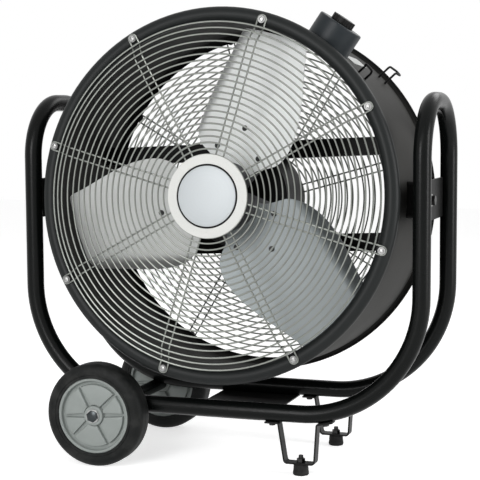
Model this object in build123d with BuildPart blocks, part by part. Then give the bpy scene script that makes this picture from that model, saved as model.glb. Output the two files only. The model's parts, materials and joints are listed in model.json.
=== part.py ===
from build123d import *

import os
from math import asin, cos, degrees, floor, radians, sin, sqrt

# A mobile drum fan in a bent-tube cradle, in millimetres.  +Z is up, the air leaves towards -Y.
# The origin is on the floor, midway between the two side tubes and the two rows of tubes.

# ---------------------------------------------------------------- general clearances
contact_gap = 0.05        # wires that are laid on each other
moving_gap = 0.3          # faces of different moving pieces that pass each other
running_gap = 0.05        # a shaft in its bore, on the radius

# ---------------------------------------------------------------- drum size, which sets the cradle
shell_radius = 311.0
shell_wall = 1.5
plate_gap = 27.0          # from the shell's side to a pivot plate
underside_gap = 31.6      # from the shell down to the bottom tubes

# ---------------------------------------------------------------- tube cradle
tube_radius = 15.0
tube_wall = 2.0
plate_inset = 12.0        # inner face of a pivot plate inside the upright tubes' centre line
tube_row_y = 111.0        # centre line of the front and the rear row
bottom_tube_z = 104.0
bottom_bend = 205.0       # centre-line radius of the lower corners
arch_bend = 96.0          # centre-line radius of the upper corners
arch_rise = 167.4         # centre line of the arches above the pivot
arch_leg = 12.0           # straight end of an arch below its bend
axle_reach = 66.0         # axle outside the straight part of the bottom tubes

pivot_plate_inner_x = shell_radius + plate_gap
side_tube_x = pivot_plate_inner_x + plate_inset
pivot_height = bottom_tube_z + tube_radius + underside_gap + shell_radius
arch_top_z = pivot_height + arch_rise
bottom_end_x = side_tube_x - bottom_bend
axle_x = -bottom_end_x - axle_reach
foot_x = bottom_end_x
bottom_bend_z = bottom_tube_z + bottom_bend
arch_joint_z = arch_top_z - arch_bend - arch_leg
tube_underside_z = bottom_tube_z - tube_radius

# ---------------------------------------------------------------- tilt pivot
rest_tilt = -4.09         # the drum's mouth is raised by this many degrees
pivot_plate_thickness = 4.0
pivot_plate_height = 69.0
pivot_bolt_radius = 5.0
pivot_bolt_length = 21.0  # under the head
pivot_head_across = 16.0
pivot_head_height = 6.0
pivot_washer_radius = 10.5
pivot_washer_thickness = 1.6
pivot_nut_height = 8.0
bolt_hole_gap = 0.2

# ---------------------------------------------------------------- wheels and axle
axle_z = 90.0
axle_radius = 6.0
axle_tube_radius = 12.0
wheel_middle_y = 153.4
tyre_radius = 90.0
tyre_width = 48.0
tyre_shoulder = 14.0
rim_radius = 66.0
rim_lip_width = 6.0
rim_lip_inset = 2.0       # lip behind the tyre's side
rim_face_inset = 9.0      # web behind the tyre's side
rim_hub_radius = 17.0
rim_groove_count = 6
rim_groove_radius = 38.0
rim_groove_length = 32.0
rim_groove_width = 9.0
rim_groove_depth = 7.0
wheel_end_play = 0.5
axle_end_gap = 0.6
axle_washer_radius = 12.0
axle_washer_thickness = 1.6
axle_bolt_radius = 4.0
axle_bolt_length = 20.0
axle_head_across = 13.0
axle_head_height = 4.5

# ---------------------------------------------------------------- base plate, legs and feet
base_plate_gap = 8.0      # from the plate to the end of a leg
base_plate_depth = 240.0
base_plate_thickness = 4.0
base_plate_corner = 8.0
strap_width = 20.0
strap_thickness = 3.0
# places along a leg are measured from the foot, which stands below the end of the straight tube
strap_end = -62.0
strap_shoulder = -36.5
strap_foot_left = -25.5
strap_foot_right = 24.0
strap_rise = 28.5
strap_far_end = 57.0
strap_bend = 4.0
inner_leg_bolt = -51.0
outer_leg_bolt = 43.0
base_plate_width = 2 * (foot_x + strap_end - base_plate_gap)
leg_bolt_radius = 3.0
leg_bolt_length = 11.0
leg_head_across = 10.0
leg_head_height = 4.0
foot_height = 19.0
foot_radius = 13.8
foot_top_radius = 12.3
foot_stud_radius = 4.0
foot_stud_bottom_z = 8.0
foot_stud_top_z = 34.0
foot_nut_across = 13.0
foot_nut_height = 6.5

# ---------------------------------------------------------------- rims of the drum shell
front_bead_stand = 7.5    # front bead proud of the shell
front_bead_radius = 13.0
front_bead_depth = 130.4  # bead centre in front of the pivot axis
front_bead_wall = 2.0
rear_bead_stand = 8.5     # rear bead proud of the shell
rear_bead_radius = 10.5
rear_bead_depth = 146.5   # bead centre behind the pivot axis
rear_curl_mouth = 2.4     # the sheet is rolled nearly closed
rear_curl_offset = 3.0    # mouth of the curl in front of the bead's centre, inside the drum
rear_curl_cut = 6.0       # radial width of the cut that opens the curl
front_bead_ring = shell_radius + front_bead_stand - front_bead_radius
rear_bead_ring = shell_radius + rear_bead_stand - rear_bead_radius
bracket_height = 62.0
bracket_depth = 96.0
bracket_wall = 3.0
bracket_corner = 6.0

# ---------------------------------------------------------------- wire guards
wire_radius = 1.5
rib_half_gap = 7.0        # half the distance between the two wires of a rib
rib_count = 8
rib_overlap = 12.0        # the ribs end this far inside the badge's edge
front_rib_angle = 29.24
rear_rib_angle = 15.5
clip_inset = 0.9          # circle of the clip screws inside the front bead's centre
guard_face_depth = 165.0  # front guard's flat rings, in front of the pivot axis
guard_slope = 7.0 / 11.0  # fall of the guard's shoulder
shoulder_insets = [13.1, 24.1, 35.1]  # the shoulder's rings inside the clip circle
shoulder_margin = 0.8     # the ribs reach the rim's level this far outside the first ring
face_ring_inset = 47.2    # outermost ring of the face inside the clip circle
face_ring_pitch = 10.5
hub_ring_inset = 0.4      # hub ring inside the badge's edge
rib_bend = 6.0
loop_straight = 0.75      # straight wire left between the two bends of a clip loop
clip_washer_radius = 7.5
clip_washer_thickness = 1.2
clip_screw_radius = 2.5
clip_screw_length = 12.0
clip_head_radius = 4.5
clip_head_height = 2.4
badge_radius = 70.0
badge_thickness = 2.0
badge_groove_radius = 53.5
badge_groove_depth = 1.2
dome_radius = 51.0
dome_flat_radius = 42.0
dome_bevel_height = 3.0
dome_height = 5.0

# ---------------------------------------------------------------- motor and its bars
bar_roll = 2.6
bar_inset = 4.5           # middle of a bar inside the motor's edge
bar_height = 32.0
bar_thickness = 22.0
bar_wall = 2.5
bar_front_depth = -90.0   # negative depths lie behind the pivot axis
motor_bolt_x = 45.0
motor_bolt_radius = 4.0
motor_bolt_length = 9.0
motor_head_across = 13.0
motor_head_height = 5.0
motor_radius = 90.0
bar_centre_z = motor_radius - bar_inset
motor_wall = 4.0
motor_end_wall = 6.0
motor_joint_depth = 8.0
motor_cover_thickness = 6.0
motor_ear_radius = 11.0
motor_ear_thickness = 8.0
bearing_radius = 20.0
bearing_width = 12.0
bearing_boss_wall = 6.0
shaft_radius = 8.95
shaft_front_depth = 92.0
shaft_hole_gap = 0.6
stator_bore_radius = 48.0
air_gap = 0.5             # between the two cores, on the radius
rotor_core_radius = stator_bore_radius - air_gap
core_length = 50.0
core_depth = -38.0        # middle of the laminated cores
winding_inset = 5.0       # windings outside the stator's bore
winding_gap = 6.0         # between the windings and the motor's wall
winding_inner_radius = stator_bore_radius + winding_inset
winding_outer_radius = motor_radius - motor_wall - winding_gap
winding_length = 14.0

# ---------------------------------------------------------------- fan rotor
blade_count = 3
first_blade_angle = 74.0
blade_plane_depth = 80.0  # where the blade sheet meets the shaft's axis
blade_pitch = 12.0
blade_fold_skew = 10.0    # the folded edge runs at this angle to the blade's middle line
blade_fold_line = 104.0   # distance of the fold from the shaft's axis
blade_fold_angle = 48.0
blade_fold_radius = 22.0
blade_flange = 70.0
blade_thickness = 1.8
blade_tip_gap = 20.5      # between a blade's tip and the shell
blade_tip_drop = 4.0      # a tip's corners inside its middle, along the blade
blade_tip_corner = 9.0
blade_root_radius = 60.0
blade_sheet_reach = 150.0
# half of the blade's outline, from root to tip: along the middle line, and across it
blade_side = [(48.0, 36.0), (64.5, 55.0), (76.0, 76.0), (96.0, 89.5), (122.0, 95.0), (202.0, 86.5)]
blade_tip_half_width = 68.0
spider_thickness = 3.0
spider_hub_radius = 28.0
spider_hub_front = 90.0
spider_hub_rear = 46.0
spider_arm = [(0.0, 24.0), (68.0, 54.0), (90.0, 52.0), (133.0, 14.0)]
rivet_points = [(122.0, 0.0), (79.5, 42.0), (79.5, -42.0)]
rivet_radius = 2.5
rivet_head_radius = 5.0
rivet_head_height = 2.2

# ---------------------------------------------------------------- controls and cord hooks
control_angle = 56.0
control_depth = 67.0
control_radius = 40.0
control_height = 41.5     # above the shell's crown
control_wall = 3.0
control_skirt = 10.0      # housing made past the shell's crown, before it is cut to the shell
control_edge = 2.5
knob_radius = 20.5
knob_height = 11.0
knob_rib_count = 18
knob_rib_depth = 1.2
knob_rib_width = 3.4
spindle_radius = 4.0
spindle_length = 18.0
switch_size = 30.0
switch_height = 26.0
gland_radius = 9.0
gland_bore_radius = 4.5
gland_length = 18.0
gland_height = 20.0       # above the shell's crown
hook_wire_radius = 2.0
hook_half_width = 8.0
hook_height = 19.0
hook_tip_lean = 8.0
hook_tip_rise = 6.0
hook_bend = 4.0
inner_hook_angle = 41.6
inner_hook_depth = 60.0
outer_hook_angle = 43.0
outer_hook_depth = -100.0
blank_plate_angle = 50.0
blank_plate_height = 24.0
blank_plate_length = 85.0
blank_plate_depth = 25.0  # its front edge
blank_plate_thickness = 0.8

# ================================================================ planes
# "face" looks out of the drum's mouth: x to the right, y up along the drum, z towards the mouth.
tilt_cos = cos(radians(rest_tilt))
tilt_sin = sin(radians(rest_tilt))
mouth_direction = Vector(0, -tilt_cos, -tilt_sin)
pivot_point = Vector(0, 0, pivot_height)
face = Plane(origin=pivot_point, x_dir=(1, 0, 0), z_dir=mouth_direction)
fan_axis = Axis(pivot_point, mouth_direction)
# "profile" holds half sections of the turned pieces: x is the radius, y the depth.
profile = Plane(origin=pivot_point, x_dir=(1, 0, 0), z_dir=(0, tilt_sin, -tilt_cos))
# "flank" looks outwards at the drum's right side: x to the rear, y up along the drum.
flank = Plane(origin=pivot_point, x_dir=-mouth_direction, z_dir=(1, 0, 0))


def turned_plane(plane, x_angle, z_angle):
    """A plane turned about its own z, and then tipped about its new x."""
    spun = plane.location * Location((0, 0, 0), (0, 0, z_angle))
    return Plane(spun * Location((0, 0, 0), (x_angle, 0, 0)))


def radial_plane(angle, depth):
    """A plane whose z leaves the fan's axis at the angle, with its x along the axis to the mouth."""
    outward = turned_plane(face, 0, angle).x_dir
    return Plane(origin=pivot_point + mouth_direction * depth, x_dir=mouth_direction, z_dir=outward)


def hand_in(piece, name):
    """Name a finished piece and write its file."""
    piece.part.label = name
    export_step(piece.part, f"parts/{name}.step")


def bent_bar(plane, corners, bend, radius, bore=0.0):
    """A round bar or tube along rounded corners."""
    with BuildPart() as bar:
        with BuildLine(plane):
            route = FilletPolyline(*corners, radius=bend)
        with BuildSketch(Plane(origin=route @ 0, z_dir=route % 0)):
            Circle(radius)
            if bore > 0:
                Circle(bore, mode=Mode.SUBTRACT)
        sweep(path=route)
    return bar


def turned(half_section, plane, axis):
    """A solid of revolution from corners of its half section."""
    with BuildPart() as piece:
        with BuildSketch(plane):
            with BuildLine():
                Polyline(*half_section, close=True)
            make_face()
        revolve(axis=axis)
    return piece


def hexagon(across):
    """A hexagon given by its size across the flats."""
    return RegularPolygon(radius=across / 2, side_count=6, major_radius=False)


def bolt(seat, across, head, radius, length):
    """A hex bolt whose head lies on the seat's plane, with its shank running down from it."""
    with BuildPart() as piece:
        with BuildSketch(seat):
            hexagon(across)
        extrude(amount=head)
        with BuildSketch(seat):
            Circle(radius)
        extrude(amount=-length)
    return piece


def washer(seat, outer, bore, thickness):
    """A flat washer lying on the seat's plane."""
    with BuildPart() as piece:
        with BuildSketch(seat):
            Circle(outer)
            Circle(bore, mode=Mode.SUBTRACT)
        extrude(amount=thickness)
    return piece


def nut(seat, across, bore, height):
    """A hex nut lying on the seat's plane."""
    with BuildPart() as piece:
        with BuildSketch(seat):
            hexagon(across)
            Circle(bore, mode=Mode.SUBTRACT)
        extrude(amount=height)
    return piece


def gathered(pieces):
    """Separate solids that share one file, as a set of equal fasteners."""
    with BuildPart() as group:
        for piece in pieces:
            add(piece.part)
    return group


def drum_cylinder(radius, front, rear):
    """A cylinder about the fan's axis between two depths."""
    with BuildPart() as piece:
        with BuildSketch(face.offset(rear)):
            Circle(radius)
        extrude(amount=front - rear)
    return piece


os.makedirs("parts", exist_ok=True)

# ================================================================ tube cradle
row_corners = [
    (-side_tube_x, arch_joint_z),
    (-side_tube_x, bottom_tube_z),
    (side_tube_x, bottom_tube_z),
    (side_tube_x, arch_joint_z),
]
arch_corners = [
    (-tube_row_y, arch_joint_z),
    (-tube_row_y, arch_top_z),
    (tube_row_y, arch_top_z),
    (tube_row_y, arch_joint_z),
]
row_planes = {"front": Plane.XZ.offset(tube_row_y), "rear": Plane.XZ.offset(-tube_row_y)}
tube_bore = tube_radius - tube_wall
row_bars = {row: bent_bar(plane, row_corners, bottom_bend, tube_radius) for row, plane in row_planes.items()}

# The flange of a leg lies against the rising tube, so its bolt points at the bend's centre.
bend_outside = bottom_bend + tube_radius
flange_angle = degrees(asin(outer_leg_bolt / bend_outside))
flange_sin = sin(radians(flange_angle))
flange_cos = cos(radians(flange_angle))
flange_point_x = bottom_end_x + bend_outside * flange_sin
flange_point_z = bottom_bend_z - bend_outside * flange_cos


def leg_bolt_seats(row_y):
    """The two places where a leg meets the underside of its tube, looking down."""
    inner = Plane(origin=(foot_x + inner_leg_bolt, row_y, tube_underside_z), z_dir=(0, 0, -1))
    outer = Plane(origin=(flange_point_x, row_y, flange_point_z), z_dir=(flange_sin, 0, -flange_cos))
    return [inner, outer]


row_sides = {"front": -tube_row_y, "rear": tube_row_y}
for row, plane in row_planes.items():
    with BuildPart() as frame_tube:
        add(bent_bar(plane, row_corners, bottom_bend, tube_radius, tube_bore).part)
        for seat in leg_bolt_seats(row_sides[row]):
            with BuildSketch(seat):
                Circle(leg_bolt_radius + running_gap)
            extrude(amount=-tube_radius, mode=Mode.SUBTRACT)
    hand_in(frame_tube, f"{row}_frame_tube")

for side, offset_x in (("left", -side_tube_x), ("right", side_tube_x)):
    arch_tube = bent_bar(Plane.YZ.offset(offset_x), arch_corners, arch_bend, tube_radius, tube_bore)
    hand_in(arch_tube, f"{side}_arch_tube")

# ---------------------------------------------------------------- pivot plates, bolts and nuts
plate_outer_x = pivot_plate_inner_x + pivot_plate_thickness
with BuildPart() as right_pivot_plate:
    with BuildSketch(Plane.YZ.offset(pivot_plate_inner_x)):
        with Locations((0, pivot_height)):
            Rectangle(2 * (tube_row_y - tube_wall), pivot_plate_height)
            Circle(pivot_bolt_radius + bolt_hole_gap, mode=Mode.SUBTRACT)
    extrude(amount=pivot_plate_thickness)
    for bar in row_bars.values():
        add(bar.part, mode=Mode.SUBTRACT)
hand_in(right_pivot_plate, "right_pivot_plate")
with BuildPart() as left_pivot_plate:
    mirror(right_pivot_plate.part, about=Plane.YZ)
hand_in(left_pivot_plate, "left_pivot_plate")


def both_sides(piece):
    """The piece on the right and its mirror image on the left."""
    with BuildPart() as pair:
        add(piece.part)
        mirror(piece.part, about=Plane.YZ)
    return pair


plate_seat = Plane.YZ.offset(plate_outer_x)
plate_seat.origin = Vector(plate_outer_x, 0, pivot_height)
pivot_washer = washer(plate_seat, pivot_washer_radius, pivot_bolt_radius + bolt_hole_gap, pivot_washer_thickness)
hand_in(both_sides(pivot_washer), "pivot_washers")

head_seat = plate_seat.offset(pivot_washer_thickness)
pivot_bolt = bolt(head_seat, pivot_head_across, pivot_head_height, pivot_bolt_radius, pivot_bolt_length)
hand_in(both_sides(pivot_bolt), "pivot_bolts")

bracket_outer_x = pivot_plate_inner_x - moving_gap
nut_outer_x = bracket_outer_x - bracket_wall - moving_gap
nut_seat = Plane(origin=(nut_outer_x - pivot_nut_height, 0, pivot_height), x_dir=(0, 1, 0), z_dir=(1, 0, 0))
pivot_nut = nut(nut_seat, pivot_head_across, pivot_bolt_radius, pivot_nut_height)
hand_in(both_sides(pivot_nut), "pivot_lock_nuts")

# ---------------------------------------------------------------- axle tube, axle and its ends
wheel_inner_y = wheel_middle_y - tyre_width / 2
wheel_outer_y = wheel_middle_y + tyre_width / 2
hub_inner_y = wheel_inner_y + rim_lip_inset
hub_outer_y = wheel_outer_y - rim_lip_inset
axle_tube_end = hub_inner_y - wheel_end_play
axle_end_y = hub_outer_y + axle_end_gap
axle_plane = Plane(origin=(axle_x, 0, axle_z), x_dir=(1, 0, 0), z_dir=(0, 1, 0))

with BuildPart() as axle_tube:
    with BuildSketch(axle_plane):
        Circle(axle_tube_radius)
        Circle(axle_radius + running_gap, mode=Mode.SUBTRACT)
    extrude(amount=axle_tube_end, both=True)
    for bar in row_bars.values():
        add(bar.part, mode=Mode.SUBTRACT)
hand_in(axle_tube, "axle_tube")

with BuildPart() as wheel_axle:
    with BuildSketch(axle_plane):
        Circle(axle_radius)
    extrude(amount=axle_end_y, both=True)
    for end in (axle_plane.offset(axle_end_y), axle_plane.offset(-axle_end_y + axle_bolt_length)):
        with BuildSketch(end):
            Circle(axle_bolt_radius)
        extrude(amount=-axle_bolt_length, mode=Mode.SUBTRACT)
hand_in(wheel_axle, "wheel_axle")


def front_and_rear(piece):
    """The piece at the rear and its mirror image at the front."""
    with BuildPart() as pair:
        add(piece.part)
        mirror(piece.part, about=Plane.XZ)
    return pair


axle_seat = axle_plane.offset(axle_end_y)
axle_washer = washer(axle_seat, axle_washer_radius, axle_bolt_radius + bolt_hole_gap, axle_washer_thickness)
hand_in(front_and_rear(axle_washer), "axle_washers")
axle_head_seat = axle_seat.offset(axle_washer_thickness)
axle_shank = axle_bolt_length + axle_washer_thickness
axle_bolt = bolt(axle_head_seat, axle_head_across, axle_head_height, axle_bolt_radius, axle_shank)
hand_in(front_and_rear(axle_bolt), "axle_end_bolts")

# ---------------------------------------------------------------- wheels
wheel_axis = Axis((axle_x, 0, axle_z), (0, 1, 0))
wheel_profile = Plane(origin=(axle_x, 0, axle_z), x_dir=(1, 0, 0), z_dir=(0, 0, 1))


def tyre(middle_y):
    """A solid rubber tyre with round shoulders."""
    with BuildPart() as piece:
        with BuildSketch(wheel_profile):
            with Locations(((rim_radius + tyre_radius) / 2, middle_y)):
                section = Rectangle(tyre_radius - rim_radius, tyre_width)
            fillet(section.vertices().sort_by(Axis.X)[-2:], tyre_shoulder)
        revolve(axis=wheel_axis)
    return piece


def wheel_rim(middle_y):
    """A moulded rim: lip, grooved web and hub."""
    face_half = tyre_width / 2 - rim_face_inset
    lip_half = tyre_width / 2 - rim_lip_inset
    with BuildPart() as piece:
        with BuildSketch(wheel_profile):
            with Locations(((axle_radius + running_gap + rim_radius) / 2, middle_y)):
                Rectangle(rim_radius - axle_radius - running_gap, 2 * face_half)
            with Locations((rim_radius - rim_lip_width / 2, middle_y)):
                Rectangle(rim_lip_width, 2 * lip_half)
            with Locations(((axle_radius + running_gap + rim_hub_radius) / 2, middle_y)):
                Rectangle(rim_hub_radius - axle_radius - running_gap, 2 * lip_half)
        revolve(axis=wheel_axis)
        for web_face, direction in ((middle_y + face_half, -1), (middle_y - face_half, 1)):
            with BuildSketch(axle_plane.offset(web_face)):
                with PolarLocations(rim_groove_radius, rim_groove_count):
                    SlotOverall(rim_groove_length, rim_groove_width)
            extrude(amount=direction * rim_groove_depth, mode=Mode.SUBTRACT)
    return piece


for row, middle_y in (("front", -wheel_middle_y), ("rear", wheel_middle_y)):
    hand_in(tyre(middle_y), f"{row}_wheel_tyre")
    hand_in(wheel_rim(middle_y), f"{row}_wheel_rim")

# ---------------------------------------------------------------- base plate
with BuildPart() as base_plate:
    with BuildSketch(Plane.XY.offset(tube_underside_z - base_plate_thickness)):
        RectangleRounded(base_plate_width, base_plate_depth, base_plate_corner)
    extrude(amount=base_plate_thickness)
hand_in(base_plate, "base_plate")

# ---------------------------------------------------------------- legs, their bolts and feet
strap_top_z = foot_height + strap_thickness


def flange_z(x):
    """Height of the tilted flange's upper face, which touches the tube at its bolt."""
    return flange_point_z + (x - flange_point_x) * flange_sin / flange_cos


leg_bolts = []
foot_studs = []
foot_nuts = []
for row, row_y in row_sides.items():
    with BuildPart() as leg_strap:
        with BuildSketch(Plane.XZ.offset(-row_y - strap_width / 2)):
            with BuildLine():
                FilletPolyline(
                    (foot_x + strap_end, tube_underside_z),
                    (foot_x + strap_shoulder, tube_underside_z),
                    (foot_x + strap_foot_left, strap_top_z),
                    (foot_x + strap_foot_right, strap_top_z),
                    (foot_x + strap_rise, flange_z(foot_x + strap_rise)),
                    (foot_x + strap_far_end, flange_z(foot_x + strap_far_end)),
                    radius=strap_bend,
                )
                offset(amount=strap_thickness, side=Side.RIGHT)
            make_face()
        extrude(amount=strap_width)
        for seat in leg_bolt_seats(row_y):
            with BuildSketch(seat):
                Circle(leg_bolt_radius + bolt_hole_gap)
            extrude(amount=2 * strap_thickness, both=True, mode=Mode.SUBTRACT)
        with BuildSketch(Plane.XY.offset(foot_height - strap_thickness)):
            with Locations((foot_x, row_y)):
                Circle(foot_stud_radius + bolt_hole_gap)
        extrude(amount=3 * strap_thickness, mode=Mode.SUBTRACT)
    hand_in(leg_strap, f"{row}_leg_strap")

    for seat in leg_bolt_seats(row_y):
        head_plane = seat.offset(strap_thickness)
        leg_bolts.append(bolt(head_plane, leg_head_across, leg_head_height, leg_bolt_radius, leg_bolt_length))

    with BuildPart() as foot_stud:
        with BuildSketch(Plane.XY.offset(foot_stud_bottom_z)):
            with Locations((foot_x, row_y)):
                Circle(foot_stud_radius)
        extrude(amount=foot_stud_top_z - foot_stud_bottom_z)
    foot_studs.append(foot_stud)
    nut_plane = Plane(origin=(foot_x, row_y, strap_top_z))
    foot_nuts.append(nut(nut_plane, foot_nut_across, foot_stud_radius, foot_nut_height))

    foot_section = [(0, 0), (foot_radius, 0), (foot_top_radius, foot_height), (0, foot_height)]
    foot_plane = Plane(origin=(foot_x, row_y, 0), x_dir=(1, 0, 0), z_dir=(0, -1, 0))
    foot = turned(foot_section, foot_plane, Axis((foot_x, row_y, 0), (0, 0, 1)))
    with BuildPart() as rubber_foot:
        add(foot.part)
        add(foot_stud.part, mode=Mode.SUBTRACT)
    hand_in(rubber_foot, f"{row}_foot")

hand_in(gathered(leg_bolts), "leg_bolts")
hand_in(gathered(foot_studs), "foot_studs")
hand_in(gathered(foot_nuts), "foot_nuts")

# ================================================================ drum shell and rims
clip_radius = front_bead_ring - clip_inset
front_edge = front_bead_depth + front_bead_radius
rear_edge = rear_bead_depth + rear_bead_radius

with BuildPart() as drum_shell:
    with BuildSketch(profile):
        with Locations((shell_radius - shell_wall / 2, (front_bead_depth - rear_bead_depth) / 2)):
            Rectangle(shell_wall, front_bead_depth + rear_bead_depth)
        with Locations((rear_bead_ring, -rear_bead_depth)):
            Circle(rear_bead_radius)
            Circle(rear_bead_radius - shell_wall, mode=Mode.SUBTRACT)
        with Locations((rear_bead_ring - rear_bead_radius, rear_curl_offset - rear_bead_depth)):
            Rectangle(rear_curl_cut, rear_curl_mouth, mode=Mode.SUBTRACT)
        with Locations((front_bead_ring, front_bead_depth)):
            Circle(front_bead_radius, mode=Mode.SUBTRACT)
    revolve(axis=fan_axis)
    with BuildSketch(face.offset(-rear_bead_depth)):
        with PolarLocations(clip_radius, rib_count, rear_rib_angle):
            Circle(clip_screw_radius)
    extrude(amount=-2 * rear_bead_radius, mode=Mode.SUBTRACT)
hand_in(drum_shell, "drum_shell")

with BuildPart() as front_rim:
    with BuildSketch(profile):
        with Locations((front_bead_ring, front_bead_depth)):
            Circle(front_bead_radius)
            Circle(front_bead_radius - front_bead_wall, mode=Mode.SUBTRACT)
    revolve(axis=fan_axis)
    with BuildSketch(face.offset(front_edge)):
        with PolarLocations(clip_radius, rib_count, front_rib_angle):
            Circle(clip_screw_radius)
    extrude(amount=-front_bead_radius, mode=Mode.SUBTRACT)
hand_in(front_rim, "front_rim")

shell_body = drum_cylinder(shell_radius, front_bead_depth, -rear_bead_depth)

# ---------------------------------------------------------------- pivot brackets on the shell
# The bracket is made longer than it shows, and cut to the shell that it is welded to.
bracket_reach = bracket_outer_x - shell_radius + bracket_height / 2
with BuildPart() as right_pivot_bracket:
    with BuildSketch(flank.offset(bracket_outer_x)):
        RectangleRounded(bracket_depth, bracket_height, bracket_corner)
    extrude(amount=-bracket_reach)
    with BuildSketch(flank.offset(bracket_outer_x - bracket_wall)):
        inner_corner = bracket_corner - bracket_wall
        RectangleRounded(bracket_depth - 2 * bracket_wall, bracket_height - 2 * bracket_wall, inner_corner)
    extrude(amount=-bracket_reach, mode=Mode.SUBTRACT)
    add(shell_body.part, mode=Mode.SUBTRACT)
    with BuildSketch(flank.offset(bracket_outer_x)):
        Circle(pivot_bolt_radius + running_gap)
    extrude(amount=-2 * bracket_wall, mode=Mode.SUBTRACT)
hand_in(right_pivot_bracket, "right_pivot_bracket")
with BuildPart() as left_pivot_bracket:
    mirror(right_pivot_bracket.part, about=Plane.YZ)
hand_in(left_pivot_bracket, "left_pivot_bracket")

# ================================================================ wire guards
wire_step = 2 * wire_radius + contact_gap
hub_ring_radius = badge_radius - hub_ring_inset
rib_inner_radius = badge_radius - rib_overlap
shoulder_rings = [clip_radius - inset for inset in shoulder_insets]
face_ring_outer = clip_radius - face_ring_inset
face_ring_count = 1 + floor((face_ring_outer - hub_ring_radius - wire_step) / face_ring_pitch)
front_rib_depth = guard_face_depth - wire_step
front_loop_depth = front_edge + wire_radius + contact_gap
slope_length = sqrt(1 + guard_slope**2)
# The rib leaves the guard's face at the shoulder and comes down to the rim along the slope.
shoulder_end = shoulder_rings[0] + shoulder_margin
shoulder_start = shoulder_end - (front_rib_depth - front_loop_depth) / guard_slope


def shoulder_ring_depth(radius):
    """Depth of a ring that lies on the sloping stretch of the ribs."""
    return front_loop_depth + (shoulder_end - radius) * guard_slope + wire_step * slope_length


face_rings = [face_ring_outer - face_ring_pitch * turn for turn in range(face_ring_count)] + [hub_ring_radius]
front_rings = [(radius, shoulder_ring_depth(radius) + contact_gap) for radius in shoulder_rings]
front_rings += [(radius, guard_face_depth) for radius in face_rings]
rear_rib_depth = -(rear_edge + wire_radius + contact_gap)
rear_rings = [(radius, rear_rib_depth - wire_step) for radius in shoulder_rings + face_rings]


def guard_rings(places):
    """Wire rings about the fan's axis."""
    with BuildPart() as rings:
        with BuildSketch(profile):
            with Locations(*places):
                Circle(wire_radius)
        revolve(axis=fan_axis)
    return rings


def guard_ribs(first_angle, route, bends):
    """Hairpin wires: out along one side, round the clip screw and back along the other."""
    out = [(radius, rib_half_gap, depth) for radius, depth in route]
    back = [(radius, -rib_half_gap, depth) for radius, depth in reversed(route)]
    loop_bend = rib_half_gap - loop_straight / 2
    radii = bends + [loop_bend, loop_bend] + bends[::-1]
    ribs = []
    for turn in range(rib_count):
        rib_plane = turned_plane(face, 0, first_angle + turn * 360 / rib_count)
        ribs.append(bent_bar(rib_plane, out + back, radii, wire_radius))
    return gathered(ribs)


loop_end = clip_radius + rib_half_gap
front_route = [
    (rib_inner_radius, front_rib_depth),
    (shoulder_start, front_rib_depth),
    (shoulder_end, front_loop_depth),
    (loop_end, front_loop_depth),
]
rear_route = [(rib_inner_radius, rear_rib_depth), (loop_end, rear_rib_depth)]
hand_in(guard_rings(front_rings), "front_guard_rings")
hand_in(guard_ribs(front_rib_angle, front_route, [rib_bend, rib_bend]), "front_guard_ribs")
hand_in(guard_rings(rear_rings), "rear_guard_rings")
hand_in(guard_ribs(rear_rib_angle, rear_route, []), "rear_guard_ribs")

# ---------------------------------------------------------------- guard screws and washers
front_clip_face = front_loop_depth + wire_radius + contact_gap
rear_clip_face = rear_rib_depth - wire_radius - contact_gap
with BuildPart() as guard_washers:
    for clip_face, first_angle, outwards in (
        (front_clip_face, front_rib_angle, 1),
        (rear_clip_face, rear_rib_angle, -1),
    ):
        with BuildSketch(face.offset(clip_face)):
            with PolarLocations(clip_radius, rib_count, first_angle):
                Circle(clip_washer_radius)
                Circle(clip_screw_radius, mode=Mode.SUBTRACT)
        extrude(amount=outwards * clip_washer_thickness)
hand_in(guard_washers, "guard_washers")

with BuildPart() as guard_screws:
    for clip_face, first_angle, outwards in (
        (front_clip_face + clip_washer_thickness, front_rib_angle, 1),
        (rear_clip_face - clip_washer_thickness, rear_rib_angle, -1),
    ):
        with BuildSketch(face.offset(clip_face)):
            with PolarLocations(clip_radius, rib_count, first_angle):
                Circle(clip_head_radius)
        extrude(amount=outwards * clip_head_height)
        with BuildSketch(face.offset(clip_face)):
            with PolarLocations(clip_radius, rib_count, first_angle):
                Circle(clip_screw_radius)
        extrude(amount=-outwards * clip_screw_length)
hand_in(guard_screws, "guard_screws")

# ---------------------------------------------------------------- hub badge
badge_rear = guard_face_depth + wire_radius + contact_gap
badge_front = badge_rear + badge_thickness
with BuildPart() as guard_badge_ring:
    with BuildSketch(face.offset(badge_rear)):
        Circle(badge_radius)
    extrude(amount=badge_thickness)
    fillet(guard_badge_ring.edges().group_by(SortBy.LENGTH)[-1], badge_thickness / 3)
    with BuildSketch(face.offset(badge_front)):
        Circle(badge_groove_radius)
        Circle(dome_radius, mode=Mode.SUBTRACT)
    extrude(amount=-badge_groove_depth, mode=Mode.SUBTRACT)
hand_in(guard_badge_ring, "guard_badge_ring")

dome_rise = dome_height - dome_bevel_height
dome_sphere = (dome_flat_radius**2 + dome_rise**2) / (2 * dome_rise)
dome_top = badge_front + dome_height
dome_middle = dome_top - dome_sphere + sqrt(dome_sphere**2 - dome_flat_radius**2 / 4)
with BuildPart() as guard_badge_dome:
    with BuildSketch(profile):
        with BuildLine():
            outer_edge = Polyline(
                (0, dome_top),
                (0, badge_front),
                (dome_radius, badge_front),
                (dome_radius, badge_front + badge_groove_depth),
                (dome_flat_radius, badge_front + dome_bevel_height),
            )
            ThreePointArc(outer_edge @ 1, (dome_flat_radius / 2, dome_middle), (0, dome_top))
        make_face()
    revolve(axis=fan_axis)
hand_in(guard_badge_dome, "guard_badge_dome")

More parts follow.
